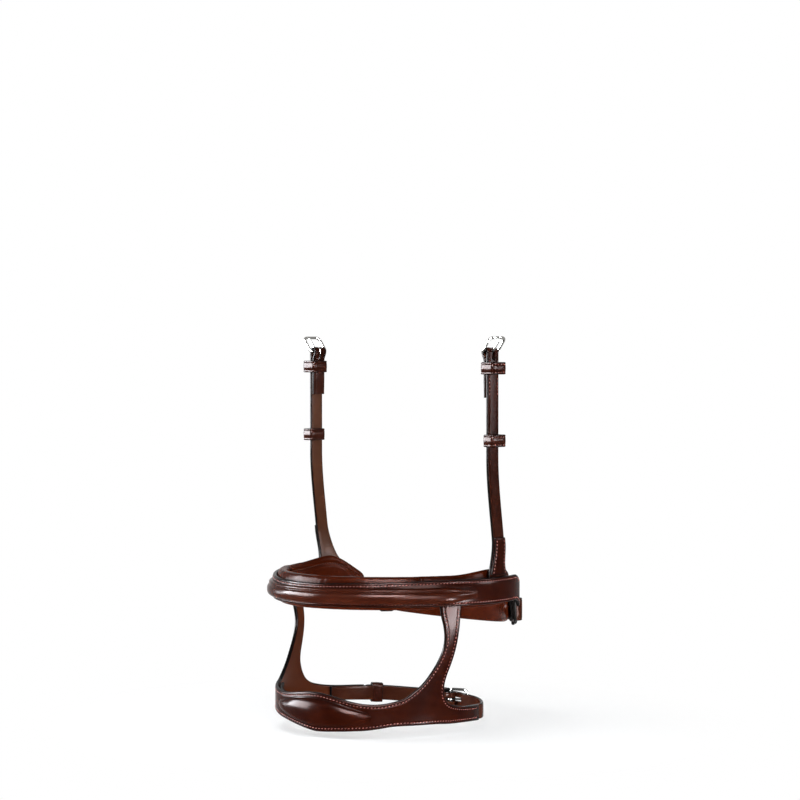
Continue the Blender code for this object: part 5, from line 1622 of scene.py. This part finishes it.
def lower_outline():
    """The lower band's closed outline on the flat, counted from the front's top round the near side."""
    arm_top = -BAND_HEIGHT / 2 + ARM_TUCK
    half_tail = CHIN_WIDTH / 2 + GAP

    def pattern(table, height):
        return [flat(degrees, CHIN_Z + height * share) for degrees, share in table]

    top = pattern(NOSE_TOP_SHARES, NOSE_HEIGHT) + pattern(ARM_FRONT_SHARES, LOWER_DROP)
    top += [flat(ARM_TOP_FRONT, arm_top)]
    rear = [flat(ARM_TOP_BACK, arm_top)] + pattern(ARM_BACK_SHARES, LOWER_DROP)
    rear += [flat(105.0, CHIN_Z + half_tail), flat(TAIL_END, CHIN_Z + half_tail)]
    bottom = [flat(TAIL_END, CHIN_Z - half_tail)] + pattern(NOSE_BOTTOM_SHARES, -NOSE_HEIGHT)
    first = curve_through(top, before=Vector((-top[1].x, top[1].y)))
    second = curve_through(rear)
    last = curve_through(bottom, after=Vector((-bottom[-2].x, bottom[-2].y)))
    half = first + evened([first[-1], second[0]])[1:-1] + second + evened([second[-1], last[0]])[1:-1] + last
    return half + [Vector((-point.x, point.y)) for point in reversed(half[1:-1])]


def evened(points):
    """Even 2D points along a path."""
    made = resampled([point.to_3d() for point in points], OUTLINE_STEP)
    return [point.to_2d() for point in made]


def inset_ways(outline):
    """For each corner of a closed outline, the way inward that keeps an inset even."""
    after = outline[1:] + outline[:1]
    turn = 1 if sum(a.x * b.y - b.x * a.y for a, b in zip(outline, after)) > 0 else -1
    ways = []
    for before, point, ahead in zip(outline[-1:] + outline[:-1], outline, after):
        first, second = ((b - a).normalized().orthogonal() * turn for a, b in ((before, point), (point, ahead)))
        way = (first + second).normalized()
        ways.append(way / max(way.dot(first), 0.6))
    return ways


def inset(outline, ways, distance):
    return [point + way * distance for point, way in zip(outline, ways)]


def filled(rim, step):
    """Triangles inside a closed rim: (all points, faces), with the rim's points first."""
    tree = KDTree(len(rim))
    for i, point in enumerate(rim):
        tree.insert(point.to_3d(), i)
    tree.balance()
    low = Vector((min(p.x for p in rim), min(p.y for p in rim)))
    high = Vector((max(p.x for p in rim), max(p.y for p in rim)))
    inner = []
    for i in range(int((high.x - low.x) / step) + 1):
        for j in range(int((high.y - low.y) / (step * 0.866)) + 1):
            spot = Vector((low.x + (i + 0.5 * (j % 2)) * step, low.y + j * step * 0.866))
            if tree.find(spot.to_3d())[2] > step * 0.6 and inside(spot, rim):
                inner.append(spot)
    count = len(rim)
    edges = [(i, (i + 1) % count) for i in range(count)]
    made = delaunay_2d_cdt([*rim, *inner], edges, [], 1, 1e-7)
    return made[0], made[2]


def inside(spot, rim):
    crossings = False
    for a, b in zip(rim, rim[1:] + rim[:1]):
        if (a.y > spot.y) != (b.y > spot.y):
            if spot.x < (b.x - a.x) * (spot.y - a.y) / (b.y - a.y) + a.x:
                crossings = not crossings
    return crossings


def on_form(point, out):
    return form_point(point.x * FLAT_SCALE, out, point.y)


def form_normal(point):
    return form(point.y).normal(turned_angle(point.x * FLAT_SCALE, point.y))


def lower_band():
    """One cut piece of leather with rounded, painted edges and a stitching channel all round, darkened with painted
    shade.
    """
    outline = lower_outline()
    ways = inset_ways(outline)
    count = len(outline)
    rims = []
    for turn in span(0, 90, 90 / ROUND_STEPS):
        angle = math.radians(turn)
        rims.append((LOWER_ROUND * (1 - math.cos(angle)), LOWER_ROUND * (1 - math.sin(angle)), edge_dye(turn)))
    # The stitching channel's 0.3 is painted shade; the rims and LOWER_PAINT are edge paint.
    front = [*rims, (LOWER_PAINT, 0, 0.8), (SEAM_IN - SEAM_HALF, 0, 0.0), (SEAM_IN, SEAM_DEPTH, 0.3)]
    front += [(SEAM_IN + SEAM_HALF, 0, 0.0), (LOWER_FACE, 0, 0.0)]
    verts, paints_and_shades, faces = [], [], []

    def add_rims(rims, face_out, sign):
        starts = []
        for distance, drop, paint_and_shade in rims:
            starts.append(len(verts))
            verts.extend(on_form(point, face_out - sign * drop) for point in inset(outline, ways, distance))
            paints_and_shades.extend([-1.0 if sign < 0 and not paint_and_shade else paint_and_shade] * count)
        for first, second in zip(starts, starts[1:]):
            faces.extend(ring_faces(first, second, count))
        points, inner = filled(inset(outline, ways, rims[-1][0]), FILL_STEP)
        verts.extend(on_form(point, face_out) for point in points[count:])
        paints_and_shades.extend([min(0.0, sign)] * (len(points) - count))
        faces.extend(tuple(starts[-1] + i for i in face) for face in inner)
        return starts[0]

    outer_start = add_rims(front, 0.0, 1)
    inner_start = add_rims([*rims, (SEAM_IN, 0, 0.0)], -LOWER_LEATHER, -1)
    faces += ring_faces(outer_start, inner_start, count)
    made = new_piece("lower_leather", verts, faces, OUTER, paints_and_shades)
    dress(made, "noseband", "dark_leather", "lower_band_leather")
    seam = inset(outline, ways, SEAM_IN)
    tracks = [[]]
    for point in [*seam, seam[0]]:
        if point.y < SEAM_TOP and abs(point.x * FLAT_SCALE) < SEAM_END:
            tracks[-1].append((on_form(point, -SEAM_SINK), form_normal(point)))
        elif tracks[-1]:
            tracks.append([])
    stitching("lower_leather_stitches", [track for track in tracks if len(track) > 3], "noseband")


def nose_dome():
    """The domed pad on the nose piece, with a creased rim darkened with painted shade."""
    rings = []
    for degrees in span(-NOSE_PAD_END, NOSE_PAD_END, FINE_TURN / 1.6):
        full = math.sqrt(max(1 - (abs(degrees) / NOSE_PAD_END) ** 3, 0.0))
        top = nose_top(abs(degrees)) - NOSE_PAD_MARGIN
        bottom = nose_bottom(abs(degrees)) + NOSE_PAD_MARGIN
        middle, half = (top + bottom) / 2, (top - bottom) / 2 * between(0.06, 1, full)
        rise = NOSE_PAD_RISE * between(0.06, 1, full * full)
        rings.append([form_point(degrees, GAP + rise * out, middle + half * up) for up, out in DOME])
    # Painted shade darkens the rim crease and the edges where the dome meets the band.
    paints_and_shades = [[0.45 if abs(up) > 0.98 or 0.88 < abs(up) < 0.935 else 0.0 for up, _ in DOME]] * len(rings)
    made = skin("nose_dome", rings, paints_and_shades, OUTER, sharp=75)
    dress(made, "noseband", "dark_leather", "lower_nose_pad")


def lower_lining():
    rings, paints_and_shades = [], []
    front = -LOWER_LEATHER - GAP
    back = front - LOWER_LINING_THICK
    centre_out = (front + back) / 2
    for degrees in span(-LOWER_LINING_END, LOWER_LINING_END, FINE_TURN):
        top = nose_top(abs(degrees)) - LOWER_LINING_INSET
        bottom = nose_bottom(abs(degrees)) + LOWER_LINING_INSET
        centre, half = (top + bottom) / 2, (top - bottom) / 2
        full = rounded((LOWER_LINING_END - abs(degrees)) / 1.5, 0.03)
        row, edge_paint_and_shade = [], []
        for out, z in squared_section(front, back, bottom, top, 4.5, 40):
            row.append(form_point(degrees, between(centre_out, out, full), between(centre, z, full)))
            edge_paint_and_shade.append(eased((abs(z - centre) / half - 0.70) / 0.2))
        rings.append(row)
        paints_and_shades.append(edge_paint_and_shade)
    made = skin("lower_lining", rings, paints_and_shades, LOWER_LINING, sharp=75)
    dress(made, "noseband", "lining_leather", "lower_band_lining")


# Chin strap


def chin_straps():
    closure = chin_closure()
    level = closure.strap_out
    points, free = chin_tuck(closure, -1)
    points += closure.run(free, -fold_radius(CHIN_THICK, WIRE), level)[1:]
    sewn_strap(closure, "chin", points, CHIN_RETURN)
    keeper_end = CLOSURE_KEEPER_DROP + CLOSURE_KEEPER_BAND / 2
    seam = closure.run(SEAM_CLEAR - CHIN_RETURN, -keeper_end - SEAM_CLEAR, level)
    stitching("chin_strap_stitches", edge_tracks(seam, CHIN_WIDTH, CHIN_THICK, 1), "noseband")
    points, free = chin_tuck(closure, 1)
    points += closure.run(free, FRAME_LENGTH * RUN_START_SHARE, level)[1:]
    free_end(closure, "chin", points, level, CHIN_BILLET_PAST)
    closure_hardware(closure, "chin", level, CHIN_RUNNER_PAST)


def main():
    make_stage()
    upper_band()
    facing()
    lining()
    for side, name in SIDES:
        hanger(side, name)
        ring_shape(side, name)
        chape(side, name)
    jaw_straps()
    jaw_cushion()
    lower_band()
    nose_dome()
    lower_lining()
    chin_straps()


main()
